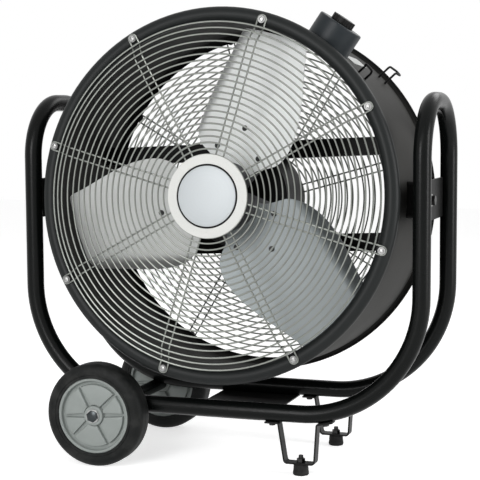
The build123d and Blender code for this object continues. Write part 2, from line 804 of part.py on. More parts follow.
# ================================================================ motor
bar_face = turned_plane(face.offset(bar_front_depth), 0, bar_roll)
shell_inside = drum_cylinder(shell_radius - shell_wall, front_bead_depth, -rear_bead_depth)
for name, centre in (("upper", bar_centre_z), ("lower", -bar_centre_z)):
    with BuildPart() as motor_bar:
        with BuildSketch(bar_face):
            with Locations((0, centre)):
                Rectangle(2 * shell_radius, bar_height)
        extrude(amount=-bar_thickness)
        with BuildSketch(bar_face.offset(-bar_wall)):
            with Locations((0, centre)):
                Rectangle(2 * shell_radius, bar_height - 2 * bar_wall)
        extrude(amount=-bar_thickness, mode=Mode.SUBTRACT)
        with BuildSketch(bar_face):
            with Locations((-motor_bolt_x, centre), (motor_bolt_x, centre)):
                Circle(motor_bolt_radius + running_gap)
        extrude(amount=-2 * bar_wall, mode=Mode.SUBTRACT)
        add(shell_inside.part, mode=Mode.INTERSECT)
    hand_in(motor_bar, f"{name}_motor_bar")

motor_bolt_seat = Plane(origin=bar_face.offset(-bar_wall).origin, x_dir=bar_face.x_dir, z_dir=-bar_face.z_dir)
with BuildPart() as motor_bolts:
    with BuildSketch(motor_bolt_seat):
        with GridLocations(2 * motor_bolt_x, 2 * bar_centre_z, 2, 2):
            hexagon(motor_head_across)
    extrude(amount=motor_head_height)
    with BuildSketch(motor_bolt_seat):
        with GridLocations(2 * motor_bolt_x, 2 * bar_centre_z, 2, 2):
            Circle(motor_bolt_radius)
    extrude(amount=-motor_bolt_length)
hand_in(motor_bolts, "motor_bolts")

motor_cavity_rear = bar_front_depth + motor_end_wall
rear_bearing_front = motor_cavity_rear + bearing_width
with BuildPart() as motor_housing:
    with BuildSketch(bar_face):
        Circle(motor_radius)
    extrude(amount=motor_joint_depth - bar_front_depth)
    with BuildSketch(bar_face):
        with GridLocations(2 * motor_bolt_x, 2 * bar_centre_z, 2, 2):
            Circle(motor_ear_radius)
    extrude(amount=motor_ear_thickness)
    with BuildSketch(face.offset(motor_cavity_rear)):
        Circle(motor_radius - motor_wall)
    extrude(amount=motor_joint_depth - motor_cavity_rear, mode=Mode.SUBTRACT)
    with BuildSketch(face.offset(motor_cavity_rear)):
        Circle(bearing_radius + bearing_boss_wall)
    extrude(amount=bearing_width)
    with BuildSketch(face.offset(motor_cavity_rear)):
        Circle(bearing_radius)
    extrude(amount=bearing_width, mode=Mode.SUBTRACT)
    with BuildSketch(bar_face):
        with GridLocations(2 * motor_bolt_x, 2 * bar_centre_z, 2, 2):
            Circle(motor_bolt_radius)
    extrude(amount=motor_bolt_length - bar_wall, mode=Mode.SUBTRACT)
hand_in(motor_housing, "motor_housing")

cover_front = motor_joint_depth + motor_cover_thickness
front_bearing_rear = motor_joint_depth - bearing_width
with BuildPart() as motor_front_cover:
    with BuildSketch(face.offset(motor_joint_depth)):
        Circle(motor_radius)
    extrude(amount=motor_cover_thickness)
    fillet(motor_front_cover.faces().sort_by(fan_axis)[-1].edges(), motor_wall)
    with BuildSketch(face.offset(front_bearing_rear)):
        Circle(bearing_radius + bearing_boss_wall)
        Circle(bearing_radius, mode=Mode.SUBTRACT)
    extrude(amount=bearing_width)
    with BuildSketch(face.offset(motor_joint_depth)):
        Circle(shaft_radius + shaft_hole_gap)
    extrude(amount=motor_cover_thickness, mode=Mode.SUBTRACT)
hand_in(motor_front_cover, "motor_front_cover")

with BuildPart() as motor_bearings:
    for bearing_rear in (motor_cavity_rear, front_bearing_rear):
        with BuildSketch(face.offset(bearing_rear)):
            Circle(bearing_radius)
            Circle(shaft_radius + running_gap, mode=Mode.SUBTRACT)
        extrude(amount=bearing_width)
hand_in(motor_bearings, "motor_bearings")

core_rear = core_depth - core_length / 2
core_front = core_depth + core_length / 2
with BuildPart() as stator_core:
    with BuildSketch(face.offset(core_rear)):
        Circle(motor_radius - motor_wall)
        Circle(stator_bore_radius, mode=Mode.SUBTRACT)
    extrude(amount=core_length)
hand_in(stator_core, "stator_core")

with BuildPart() as stator_windings:
    for winding_rear in (core_rear - winding_length, core_front):
        with BuildSketch(face.offset(winding_rear)):
            Circle(winding_outer_radius)
            Circle(winding_inner_radius, mode=Mode.SUBTRACT)
        extrude(amount=winding_length)
hand_in(stator_windings, "stator_windings")

with BuildPart() as rotor_core:
    with BuildSketch(face.offset(core_rear)):
        Circle(rotor_core_radius)
        Circle(shaft_radius, mode=Mode.SUBTRACT)
    extrude(amount=core_length)
hand_in(rotor_core, "rotor_core")

with BuildPart() as motor_shaft:
    with BuildSketch(face.offset(motor_cavity_rear + moving_gap)):
        Circle(shaft_radius)
    extrude(amount=shaft_front_depth - motor_cavity_rear - moving_gap)
hand_in(motor_shaft, "motor_shaft")

# ================================================================ blades on their spider
blade_tip_radius = shell_radius - shell_wall - blade_tip_gap
blade_angles = [first_blade_angle + turn * 360 / blade_count for turn in range(blade_count)]


def sheet_plane(angle):
    """The flat part of a blade: x along its folded edge, y across it, falling back to the fold."""
    return turned_plane(face.offset(blade_plane_depth), -blade_pitch, angle - blade_fold_skew)


def on_sheet(points):
    """Points given along and across a blade's middle line, moved onto its tilted sheet."""
    skew_cos = cos(radians(blade_fold_skew))
    skew_sin = sin(radians(blade_fold_skew))
    pitch_cos = cos(radians(blade_pitch))
    return [
        (along * skew_cos - across * skew_sin, (along * skew_sin + across * skew_cos) / pitch_cos)
        for along, across in points
    ]


def fan_blade(angle):
    """One blade: a flat sheet with its trailing edge folded back."""
    sheet = sheet_plane(angle)
    across = Plane(origin=sheet.origin, x_dir=sheet.y_dir, z_dir=sheet.x_dir)
    fold = radians(blade_fold_angle)
    side = blade_side + [(blade_tip_radius - blade_tip_drop, blade_tip_half_width)]
    mirrored_side = [(along, -aside) for along, aside in side]
    with BuildPart() as blade:
        with BuildSketch(across):
            with BuildLine():
                FilletPolyline(
                    (-blade_sheet_reach, 0),
                    (blade_fold_line, 0),
                    (blade_fold_line + blade_flange * cos(fold), -blade_flange * sin(fold)),
                    radius=blade_fold_radius,
                )
                offset(amount=blade_thickness, side=Side.LEFT)
            make_face()
        extrude(amount=blade_tip_radius + blade_tip_corner)
        with BuildSketch(turned_plane(face, 0, angle)):
            with BuildLine():
                Spline(*side)
                Spline(*mirrored_side)
                ThreePointArc(mirrored_side[0], (blade_root_radius, 0), side[0])
                ThreePointArc(side[-1], (blade_tip_radius, 0), mirrored_side[-1])
            outline = make_face()
            fillet(outline.vertices().group_by(Axis.X)[-1], blade_tip_corner)
        extrude(amount=2 * blade_plane_depth, mode=Mode.INTERSECT)
        with BuildSketch(sheet):
            with Locations(*on_sheet(rivet_points)):
                Circle(rivet_radius)
        extrude(amount=2 * blade_thickness, both=True, mode=Mode.SUBTRACT)
    return blade


for number, angle in enumerate(blade_angles, start=1):
    hand_in(fan_blade(angle), f"fan_blade_{number}")

with BuildPart() as blade_spider:
    with BuildSketch(face.offset(spider_hub_rear)):
        Circle(spider_hub_radius)
    extrude(amount=spider_hub_front - spider_hub_rear)
    for angle in blade_angles:
        sheet = sheet_plane(angle)
        upper = on_sheet(spider_arm)
        lower = on_sheet([(along, -across) for along, across in reversed(spider_arm)])
        with BuildSketch(sheet.offset(-contact_gap)):
            with BuildLine():
                Polyline(*upper, *lower, close=True)
            make_face()
            with Locations(*on_sheet(rivet_points)):
                Circle(rivet_radius, mode=Mode.SUBTRACT)
        extrude(amount=-spider_thickness)
    with BuildSketch(face.offset(spider_hub_rear)):
        Circle(shaft_radius)
    extrude(amount=spider_hub_front - spider_hub_rear, mode=Mode.SUBTRACT)
hand_in(blade_spider, "blade_spider")

with BuildPart() as blade_rivets:
    for angle in blade_angles:
        sheet = sheet_plane(angle)
        with BuildSketch(sheet.offset(blade_thickness)):
            with Locations(*on_sheet(rivet_points)):
                Circle(rivet_head_radius)
        extrude(amount=rivet_head_height)
        with BuildSketch(sheet.offset(blade_thickness)):
            with Locations(*on_sheet(rivet_points)):
                Circle(rivet_radius)
        extrude(amount=-blade_thickness - contact_gap - spider_thickness - rivet_head_height)
hand_in(blade_rivets, "blade_rivets")

# ================================================================ controls on the flank
control_top = shell_radius + control_height
gland_centre = shell_radius + gland_height
control = radial_plane(control_angle, control_depth)
control_ceiling = control_top - control_wall
with BuildPart() as control_housing:
    with BuildSketch(control.offset(control_top)):
        Circle(control_radius)
    extrude(amount=-(control_top - shell_radius + control_skirt))
    fillet(control_housing.faces().sort_by(Axis(control.origin, control.z_dir))[-1].edges(), control_edge)
    with BuildSketch(control.offset(control_ceiling)):
        Circle(control_radius - control_wall)
    extrude(amount=-(control_ceiling - shell_radius + control_radius), mode=Mode.SUBTRACT)
    with BuildSketch(control.offset(control_top)):
        Circle(spindle_radius + moving_gap)
    extrude(amount=-2 * control_wall, mode=Mode.SUBTRACT)
    add(shell_body.part, mode=Mode.SUBTRACT)
    gland_seat = Plane(origin=control.origin + control.z_dir * gland_centre, x_dir=control.z_dir, z_dir=-control.x_dir)
    with BuildSketch(gland_seat):
        Circle(gland_bore_radius)
    extrude(amount=control_radius + control_wall, mode=Mode.SUBTRACT)
hand_in(control_housing, "control_housing")

with BuildPart() as cable_gland:
    with BuildSketch(gland_seat):
        Circle(gland_radius)
        Circle(gland_bore_radius, mode=Mode.SUBTRACT)
    extrude(amount=control_radius + gland_length)
    with BuildSketch(control):
        Circle(control_radius)
    extrude(amount=control_top, mode=Mode.SUBTRACT)
hand_in(cable_gland, "cable_gland")

with BuildPart() as speed_switch:
    with BuildSketch(control.offset(control_ceiling)):
        Rectangle(switch_size, switch_size)
    extrude(amount=-switch_height)
    with BuildSketch(control.offset(control_ceiling)):
        Circle(spindle_radius + running_gap)
    extrude(amount=-spindle_length, mode=Mode.SUBTRACT)
hand_in(speed_switch, "speed_switch")

knob_base = control_top + moving_gap
with BuildPart() as speed_knob:
    with BuildSketch(control.offset(knob_base)):
        Circle(knob_radius)
        with PolarLocations(knob_radius, knob_rib_count):
            Rectangle(2 * knob_rib_depth, knob_rib_width, mode=Mode.SUBTRACT)
    extrude(amount=knob_height)
    with BuildSketch(control.offset(knob_base)):
        Circle(spindle_radius)
    extrude(amount=-(knob_base - control_ceiling + spindle_length - moving_gap))
hand_in(speed_knob, "speed_knob")

# ---------------------------------------------------------------- cord hooks and blank plate
def cord_hook(angle, depth, lean):
    """A wire hook: two feet on the shell and a tip that leans along the drum."""
    foot = shell_radius - hook_wire_radius
    knee = shell_radius + hook_height - hook_tip_rise
    tip = shell_radius + hook_height
    corners = [
        (0, hook_half_width, foot),
        (0, hook_half_width, knee),
        (lean, hook_half_width, tip),
        (lean, -hook_half_width, tip),
        (0, -hook_half_width, knee),
        (0, -hook_half_width, foot),
    ]
    with BuildPart() as hook:
        add(bent_bar(radial_plane(angle, depth), corners, hook_bend, hook_wire_radius).part)
        add(shell_body.part, mode=Mode.SUBTRACT)
    return hook


hand_in(cord_hook(inner_hook_angle, inner_hook_depth, hook_tip_lean), "inner_cord_hook")
hand_in(cord_hook(outer_hook_angle, outer_hook_depth, -hook_tip_lean), "outer_cord_hook")

with BuildPart() as blank_plate:
    with BuildSketch(face.offset(blank_plate_depth)):
        Circle(shell_radius + blank_plate_thickness)
        Circle(shell_radius, mode=Mode.SUBTRACT)
        with PolarLocations(shell_radius, 1, blank_plate_angle):
            Rectangle(blank_plate_height, blank_plate_height, mode=Mode.INTERSECT)
    extrude(amount=-blank_plate_length)
hand_in(blank_plate, "blank_plate")
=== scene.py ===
"""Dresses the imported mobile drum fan: smooth edges, wire guards, fasteners, tyres, finishes, studio and camera."""
import json
import logging
import math
from dataclasses import dataclass
from enum import Enum
from typing import Any, Callable, Iterable, Sequence

import bmesh
import bpy
from mathutils import Euler, Matrix, Vector


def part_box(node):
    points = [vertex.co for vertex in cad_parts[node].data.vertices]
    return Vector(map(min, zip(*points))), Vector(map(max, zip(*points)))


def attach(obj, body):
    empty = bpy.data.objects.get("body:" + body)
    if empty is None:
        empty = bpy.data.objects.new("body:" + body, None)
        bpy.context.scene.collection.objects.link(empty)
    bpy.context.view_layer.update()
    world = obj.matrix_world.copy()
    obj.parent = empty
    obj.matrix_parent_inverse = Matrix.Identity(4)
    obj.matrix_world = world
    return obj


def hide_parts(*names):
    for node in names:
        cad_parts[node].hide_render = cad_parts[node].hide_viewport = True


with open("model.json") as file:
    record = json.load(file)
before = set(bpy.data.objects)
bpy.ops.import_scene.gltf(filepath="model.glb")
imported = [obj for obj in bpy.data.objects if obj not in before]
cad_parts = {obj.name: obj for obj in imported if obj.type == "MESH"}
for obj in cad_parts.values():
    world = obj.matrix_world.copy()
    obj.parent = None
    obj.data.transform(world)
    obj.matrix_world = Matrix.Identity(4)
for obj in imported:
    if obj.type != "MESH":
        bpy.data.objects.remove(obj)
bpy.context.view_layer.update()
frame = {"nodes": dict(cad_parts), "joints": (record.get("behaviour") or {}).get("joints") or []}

LOG = logging.getLogger("drum_fan")
MM = 0.001
# points nearer than these are merged, in metres: in copies of the CAD and in the scene's own meshes
CAD_MERGE, OWN_MERGE = 2e-6, 1e-7
# angles between faces: flat below the first, shaded sharp above the second, an edge to break above the third
FLAT_DEG, SHARP_DEG, BROKEN_DEG = 0.4, 32.0, 38.0
# facets along a ring of the guards, and round any wire of them
RING_FACETS, WIRE_FACETS = 160, 8
Point = tuple[float, float, float]
Colour = tuple[float, float, float]
Outline = list[tuple[float, float]]


class Body(Enum):
    """The bodies that pieces ride on."""

    FRAME = "frame"
    DRUM = "drum"
    ROTOR = "rotor"
    KNOB = "knob"
    FRONT_WHEEL = "front_wheel"
    REAR_WHEEL = "rear_wheel"


class Side(Enum):
    """Front and rear of the cradle, as they begin the names of nodes."""

    FRONT = "front"
    REAR = "rear"


def joint(name: str) -> dict[str, Any]:
    """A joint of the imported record.

    Args:
        name: The joint's name.

    Returns:
        Its entry.
    """
    return next(entry for entry in frame["joints"] if entry["name"] == name)


PIVOT = Vector(joint("drum_tilt")["pos_m"])
MOUTH = Vector(joint("rotor_spin")["axis"]).normalized()
DRUM_TILT = math.atan2(-MOUTH.z, -MOUTH.y)
# the drum's own axes; columns: to the right, up the drum, and out of its mouth
DRUM_FRAME = Matrix.Translation(PIVOT) @ Matrix((
    (1, 0, 0, 0),
    (0, MOUTH.z, MOUTH.y, 0),
    (0, -MOUTH.y, MOUTH.z, 0),
    (0, 0, 0, 1),
))


# ================================================================ node trees
def math_node(operation: str, reflected: bool = False) -> Callable[..., "Signal"]:
    """A method of Signal that adds one Math node.

    Args:
        operation: The node's operation.
        reflected: Whether the signal is the second value.

    Returns:
        The method, which takes the other value where the operation has one.
    """
    def method(self: "Signal", *other: Any) -> "Signal":
        """Adds the node and hands back its result."""
        values = (*other, self) if reflected else (self, *other)
        return self.tree.add("ShaderNodeMath", {"operation": operation}, dict(enumerate(values)))
    return method


class Signal:
    """An output socket of a node tree, on which arithmetic adds Math nodes."""

    def __init__(self, tree: "NodeTree", socket: bpy.types.NodeSocket) -> None:
        """Wraps a socket of a tree."""
        self.tree, self.socket = tree, socket

    __add__ = math_node("ADD")
    __mul__ = math_node("MULTIPLY")
    __rtruediv__ = math_node("DIVIDE", reflected=True)
    sine = math_node("SINE")
    root = math_node("SQRT")
    larger = math_node("MAXIMUM")


class NodeTree:
    """A tree of shader or geometry nodes, filled by short calls."""

    def __init__(self, tree: bpy.types.NodeTree) -> None:
        """Wraps one of Blender's trees."""
        self.tree = tree

    def add(self, kind: str, settings: dict[str, Any] | None = None, values: dict[Any, Any] | None = None,
            result: int | str = 0) -> Signal:
        """Adds a node.

        Args:
            kind: The node's type.
            settings: Its properties, set first.
            values: Its sockets by name or number, as constants or signals.
            result: The output socket to hand back.

        Returns:
            That output.
        """
        node = self.tree.nodes.new(kind)
        for key, value in (settings or {}).items():
            setattr(node, key, value)
        for key, value in (values or {}).items():
            self.feed(node.inputs[key], value)
        return Signal(self, node.outputs[result])

    def feed(self, socket: bpy.types.NodeSocket, value: Any) -> None:
        """Sets a socket to a constant or links a signal to it.

        Args:
            socket: The input socket.
            value: A number, a colour, a vector or a signal.
        """
        if isinstance(value, Signal):
            self.tree.links.new(value.socket, socket)
        elif socket.type == "RGBA" and len(value) == 3:
            socket.default_value = (*value, 1.0)
        else:
            socket.default_value = value


class Recipe(NodeTree):
    """A material that is put together from nodes, ending in one Principled shader."""

    def __init__(self, name: str) -> None:
        """Starts a material.

        Args:
            name: The material's name.
        """
        self.material = bpy.data.materials.new(name)
        self.material.use_nodes = True
        super().__init__(self.material.node_tree)
        self.tree.nodes.clear()
        output = self.tree.nodes.new("ShaderNodeOutputMaterial")
        self.shader = self.tree.nodes.new("ShaderNodeBsdfPrincipled")
        self.tree.links.new(self.shader.outputs[0], output.inputs["Surface"])

    def surface(self, **values: Any) -> None:
        """Feeds the Principled shader; underscores in names stand for spaces."""
        for key, value in values.items():
            self.feed(self.shader.inputs[key.replace("_", " ")], value)

    def place(self) -> Signal:
        """The point on the piece, in metres."""
        return self.add("ShaderNodeTexCoord", result="Object")

    def drum_place(self, turn: float = 0.0) -> Signal:
        """The point in the drum's own axes: x along the turned radius, y along the fan's axis.

        Args:
            turn: Angle about the fan's axis, in radians.

        Returns:
            A vector signal.
        """
        local = self.add("ShaderNodeMapping", {"vector_type": "TEXTURE"},
                         {"Vector": self.place(), "Location": tuple(PIVOT), "Rotation": (DRUM_TILT, 0, 0)})
        return self.add("ShaderNodeMapping", {"vector_type": "TEXTURE"},
                        {"Vector": local, "Rotation": (0, -turn, 0)})

    def axis(self, vector: Signal, number: int) -> Signal:
        """One number of a vector, where 0, 1 and 2 are x, y and z."""
        return self.add("ShaderNodeSeparateXYZ", values={0: vector}, result=number)

    def noise(self, vector: Signal, scale: float | Point, detail: float = 3.0, rough: float = 0.5) -> Signal:
        """Soft noise between 0 and 1.

        Args:
            vector: Where it is read.
            scale: Lumps for each metre, the same or one number for each axis.
            detail: How many finer layers are added.
            rough: Strength of the finer layers.

        Returns:
            The noise.
        """
        if isinstance(scale, tuple):
            vector = self.add("ShaderNodeMapping", {"vector_type": "POINT"}, {"Vector": vector, "Scale": scale})
            scale = 1.0
        values = {"Vector": vector, "Scale": scale, "Detail": detail, "Roughness": rough}
        return self.add("ShaderNodeTexNoise", values=values)

    def band(self, value: Signal, start: float, end: float) -> Signal:
        """A smooth step from 0 at the start to 1 at the end, which may be the smaller of the two."""
        return self.add("ShaderNodeMapRange", {"interpolation_type": "SMOOTHSTEP"}, {0: value, 1: start, 2: end})

    def blend(self, share: Signal, first: Any, second: Any) -> Signal:
        """A mix of two colours, by the share of the second."""
        return self.add("ShaderNodeMix", {"data_type": "RGBA"}, {0: share, 6: first, 7: second}, 2)

    def bump(self, height: Signal, depth: float, strength: float) -> Signal:
        """A normal from a height between 0 and 1, whose size is the depth in metres."""
        return self.add("ShaderNodeBump", values={"Height": height, "Distance": depth, "Strength": strength})


# ================================================================ finishes
def shaded(colour: Colour, factor: float) -> Colour:
    """A colour made lighter or darker.

    Args:
        colour: The colour.
        factor: How much brighter it gets.

    Returns:
        The new colour.
    """
    return tuple(min(1.0, channel * factor) for channel in colour)


@dataclass(frozen=True)
class Finish:
    """What every finish shares: its name, the record's slot, its colour and how rough it is."""

    name: str
    slot: str
    colour: Colour
    roughness: float

    def material(self) -> bpy.types.Material:
        """Makes the finish's material, once.

        Returns:
            The material.
        """
        found = bpy.data.materials.get(f"mat_{self.name}")
        if found is not None:
            return found
        recipe = Recipe(f"mat_{self.name}")
        self.paint(recipe)
        return recipe.material

    def paint(self, recipe: Recipe) -> None:
        """Fills the recipe; each kind of finish has its own."""
        raise NotImplementedError

    def tone(self, recipe: Recipe, share: Signal, low: float, high: float) -> Signal:
        """The finish's colour between a low and a high factor of it, by the share of the high one."""
        return recipe.blend(share, shaded(self.colour, low), shaded(self.colour, high))

    def lay(self, recipe: Recipe, colour: Signal, gloss: Signal, swing: float, relief: Signal, depth: float,
            strength: float = 1.0, **more: float) -> None:
        """Feeds the shader; the roughness swings with the gloss, and the relief is a bump of a depth in metres."""
        recipe.surface(Base_Color=colour, Roughness=gloss * swing + (self.roughness - swing / 2),
                       Normal=recipe.bump(relief, depth, strength), **more)


@dataclass(frozen=True)
class PowderCoat(Finish):
    """Baked powder on steel: a fine orange-peel skin, faintly uneven gloss and a little dust."""

    specular: float = 0.14
    dust: float = 0.03
    mottle: float = 0.12
    swing: float = 0.12

    def cover(self, recipe: Recipe) -> tuple[Signal, Colour, float]:
        """What lies on the coat: its share, its colour and what it adds to the roughness at full share."""
        specks = recipe.band(recipe.noise(recipe.place(), 900.0, 1.0), 0.66, 0.74)
        return specks * self.dust, (0.5, 0.5, 0.48), 0.0

    def paint(self, recipe: Recipe) -> None:
        """Colour mottled in patches, orange peel as bump.

        Args:
            recipe: The recipe to fill.
        """
        place = recipe.place()
        patches, peel = recipe.noise(place, 9.0, 4.0), recipe.noise(place, 520.0, 2.0)
        # in the painted-shade coat this cover is painted shade, not dust
        share, colour, dulling = self.cover(recipe)
        tone = self.tone(recipe, patches, 1 - self.mottle, 1 + self.mottle)
        gloss = patches + share * (dulling / self.swing)
        self.lay(recipe, recipe.blend(share, tone, colour), gloss, self.swing, peel, 0.00009,
                 Specular_IOR_Level=self.specular)


@dataclass(frozen=True)
class PaintedShadeCoat(PowderCoat):
    """Powder coat with painted shade: dark and dull in front of one depth of the drum and behind another, as shade
    lies in a crevice.
    """

    front_edge: float = -1.0
    rear_edge: float = 1.0
    fade: float = 0.006
    painted_shade_share: float = 0.85
    edge_dulling: float = 0.4

    def cover(self, recipe: Recipe) -> tuple[Signal, Colour, float]:
        """The painted shade of both edges, in place of dust.

        Args:
            recipe: The recipe that it is made in.

        Returns:
            Its share, its colour and what it adds to the roughness at full share.
        """
        depth = recipe.axis(recipe.drum_place(), 1)
        # painted shade: a band in front of the front edge and one behind the rear edge
        front = recipe.band(depth, self.front_edge, self.front_edge - self.fade)
        rear = recipe.band(depth, self.rear_edge - self.fade, self.rear_edge)
        # the bands are painted near-black as shade, and they also make the coat rougher
        return (front + rear) * self.painted_shade_share, (0.003, 0.003, 0.003), self.edge_dulling / self.painted_shade_share


@dataclass(frozen=True)
class PlatedMetal(Finish):
    """Plated steel: wire, washers, screws and nuts, with slight drawing marks and dull spots."""

    spots: float = 0.25

    def paint(self, recipe: Recipe) -> None:
        """Dull patches darken the plating and make it rougher.

        Args:
            recipe: The recipe to fill.
        """
        place = recipe.place()
        dull, marks = recipe.noise(place, 60.0, 5.0, 0.6), recipe.noise(place, 1500.0, 2.0)
        tone = self.tone(recipe, recipe.band(dull, 0.45, 0.75) * self.spots, 1.0, 0.6)
        self.lay(recipe, tone, dull, 0.2, marks, 0.00003, Metallic=1.0)


@dataclass(frozen=True)
class RolledSheet(Finish):
    """Rolled aluminium sheet: fine lines along the blade, cloudy patches and a few scratches."""

    turn_deg: float = 0.0
    metallic: float = 0.4

    def paint(self, recipe: Recipe) -> None:
        """Lines run along the blade's own middle line.

        Args:
            recipe: The recipe to fill.
        """
        local = recipe.drum_place(math.radians(self.turn_deg))
        lines, clouds = recipe.noise(local, (6.0, 60.0, 900.0), 4.0, 0.65), recipe.noise(local, 14.0)
        scratch = recipe.band(recipe.noise(local, (30.0, 200.0, 700.0), 1.0), 0.72, 0.76)
        tone = self.tone(recipe, clouds * 0.6 + lines * 0.4, 0.84, 1.1)
        scratched = recipe.blend(scratch * 0.35, tone, shaded(self.colour, 1.25))
        self.lay(recipe, scratched, lines, 0.16, lines, 0.00006, 0.6, Metallic=self.metallic)


@dataclass(frozen=True)
class TurnedFace(Finish):
    """A disc brushed in circles about the fan's axis, with fine speckle."""

    speckle: float = 0.2
    lines: float = 2600.0
    metallic: float = 0.05

    def paint(self, recipe: Recipe) -> None:
        """The noise is read at the radius, so its lines are circles.

        Args:
            recipe: The recipe to fill.
        """
        local = recipe.drum_place()
        across, up = recipe.axis(local, 0), recipe.axis(local, 2)
        at_radius = recipe.add("ShaderNodeCombineXYZ", values={0: (across * across + up * up).root()})
        rings = recipe.noise(at_radius, self.lines, 2.0)
        specks = recipe.band(recipe.noise(local, 800.0, 2.0), 0.6, 0.72)
        tone = self.tone(recipe, rings, 0.9, 1.06)
        speckled = recipe.blend(specks * self.speckle, tone, shaded(self.colour, 0.6))
        self.lay(recipe, speckled, rings, 0.14, rings, 0.00004, 0.7, Metallic=self.metallic)


@dataclass(frozen=True)
class Moulding(Finish):
    """Moulded plastic: a fine spark-eroded grain with faint flow marks."""

    specular: float = 0.4
    grain_depth: float = 0.00008

    def paint(self, recipe: Recipe) -> None:
        """Grain as bump and slow flow marks in the tone.

        Args:
            recipe: The recipe to fill.
        """
        place = recipe.place()
        flow, grain = recipe.noise(place, (18.0, 18.0, 40.0)), recipe.noise(place, 1400.0, 2.0, 0.6)
        tone = self.tone(recipe, flow, 0.9, 1.1)
        self.lay(recipe, tone, grain, 0.1, grain, self.grain_depth, Specular_IOR_Level=self.specular)


@dataclass(frozen=True)
class Rubber(Finish):
    """Black rubber with a dry bloom and small scuffs."""

    bloom: float = 0.3

    def paint(self, recipe: Recipe) -> None:
        """Bloom lightens the black in patches; scuffs are rougher.

        Args:
            recipe: The recipe to fill.
        """
        place = recipe.place()
        dry, scuffs = recipe.noise(place, 34.0, 5.0, 0.6), recipe.noise(place, 420.0)
        tone = recipe.blend(recipe.band(dry, 0.4, 0.75) * self.bloom, self.colour, (0.06, 0.06, 0.058))
        self.lay(recipe, tone, dry, 0.14, scuffs, 0.00012, Specular_IOR_Level=0.14)


@dataclass(frozen=True)
class Stacked(Finish):
    """Laminations or turns of wire: fine bands along the fan's axis."""

    bands: float = 2000.0

    def paint(self, recipe: Recipe) -> None:
        """The bands are a sine of the depth along the axis."""
        stack = (recipe.axis(recipe.drum_place(), 1) * self.bands).sine() * 0.5 + 0.5
        self.lay(recipe, self.tone(recipe, stack, 0.7, 1.0), stack, 0.1, stack, 0.0001, Metallic=0.8)


class Palette:
    """Every finish of the fan but the blades'."""

    TUBE = PowderCoat("tube_black", "frame_black", (0.0028, 0.0034, 0.0032), 0.26, 0.11, dust=0.015)
    STRAP = PowderCoat("strap_black", "frame_black", (0.007, 0.007, 0.007), 0.42, 0.12)
    # painted shade: a dark band behind the front rim and one at the curled rear bead
    SHELL = PaintedShadeCoat("shell_grey", "drum_grey", (0.030, 0.0297, 0.028), 0.55, 0.04, front_edge=-0.107,
                      rear_edge=0.140)
    # painted shade over the rear half of the rim's bead
    RIM = PaintedShadeCoat("rim_grey", "rim_grey", (0.013, 0.0145, 0.0145), 0.42, 0.13, rear_edge=-0.122, fade=0.010)
    BRACKET = PowderCoat("bracket_black", "bracket_black", (0.004, 0.004, 0.004), 0.45, 0.08)
    MOTOR = PowderCoat("motor_grey", "motor_paint", (0.012, 0.012, 0.012), 0.45, 0.12)
    HOOK = PowderCoat("hook_black", "hook_black", (0.005, 0.005, 0.005), 0.38, 0.12)
    # painted shade: the near-black of the ring laid in the badge's groove
    GROOVE_SHADE = PowderCoat("badge_groove_shade", "badge_grey", (0.006, 0.006, 0.006), 0.5, 0.1)
    WIRE = PlatedMetal("guard_wire", "guard_chrome", (0.25, 0.262, 0.242), 0.32)
    WELD = PlatedMetal("weld_wire", "guard_chrome", (0.25, 0.262, 0.242), 0.36)
    ZINC = PlatedMetal("zinc", "zinc", (0.52, 0.52, 0.51), 0.26)
    BLACK_ZINC = PlatedMetal("black_zinc", "zinc", (0.035, 0.035, 0.035), 0.34)
    CLIP_HEAD = PlatedMetal("clip_head", "zinc", (0.36, 0.36, 0.355), 0.36)
    CLIP_WASHER = PlatedMetal("clip_washer", "zinc", (0.15, 0.15, 0.148), 0.40)
    DARK_CHROME = PlatedMetal("dark_chrome", "dark_chrome", (0.045, 0.050, 0.052), 0.30, spots=0.6)
    STEEL = PlatedMetal("ground_steel", "bearing_steel", (0.48, 0.48, 0.48), 0.28, spots=0.1)
    SPIDER = PlatedMetal("spider_steel", "spider_steel", (0.11, 0.11, 0.115), 0.38)
    BADGE_RING = TurnedFace("badge_ring", "badge_silver", (0.58, 0.585, 0.565), 0.50, 0.45)
    BADGE_DOME = TurnedFace("badge_dome", "badge_grey", (0.47, 0.50, 0.515), 0.44, 0.03, lines=700.0)
    CONTROL = Moulding("control_grey", "control_plastic", (0.013, 0.017, 0.020), 0.42, 0.2)
    KNOB = Moulding("knob_black", "knob_plastic", (0.006, 0.006, 0.006), 0.42, 0.15)
    PLATE = Moulding("plate_pale", "plate_pale", (0.42, 0.43, 0.42), 0.45, grain_depth=0.00003)
    WHEEL = Moulding("wheel_grey", "wheel_grey", (0.262, 0.286, 0.274), 0.45)
    TYRE = Rubber("tyre_rubber", "tyre_rubber", (0.0055, 0.0062, 0.0060), 0.58)
    FOOT = Rubber("foot_rubber", "foot_rubber", (0.009, 0.009, 0.009), 0.60)
    CORE = Stacked("core_steel", "core_steel", (0.20, 0.20, 0.20), 0.45)
    COPPER = Stacked("copper", "copper", (0.45, 0.20, 0.08), 0.40, bands=5200.0)


# ================================================================ pieces
def put(name: str, mesh: bpy.types.ID) -> bpy.types.Object:
    """Links a new object at the origin.

    Args:
        name: The object's name.
        mesh: Its mesh, already in place, or a lamp's or camera's data.

    Returns:
        The object.
    """
    piece = bpy.data.objects.new(name, mesh)
    bpy.context.scene.collection.objects.link(piece)
    return piece


def smooth(mesh: bpy.types.Mesh) -> None:
    """Shades a mesh smooth, but keeps its sharper edges.

    Args:
        mesh: The mesh.
    """
    mesh.shade_smooth()
    mesh.set_sharp_from_angle(angle=math.radians(SHARP_DEG))


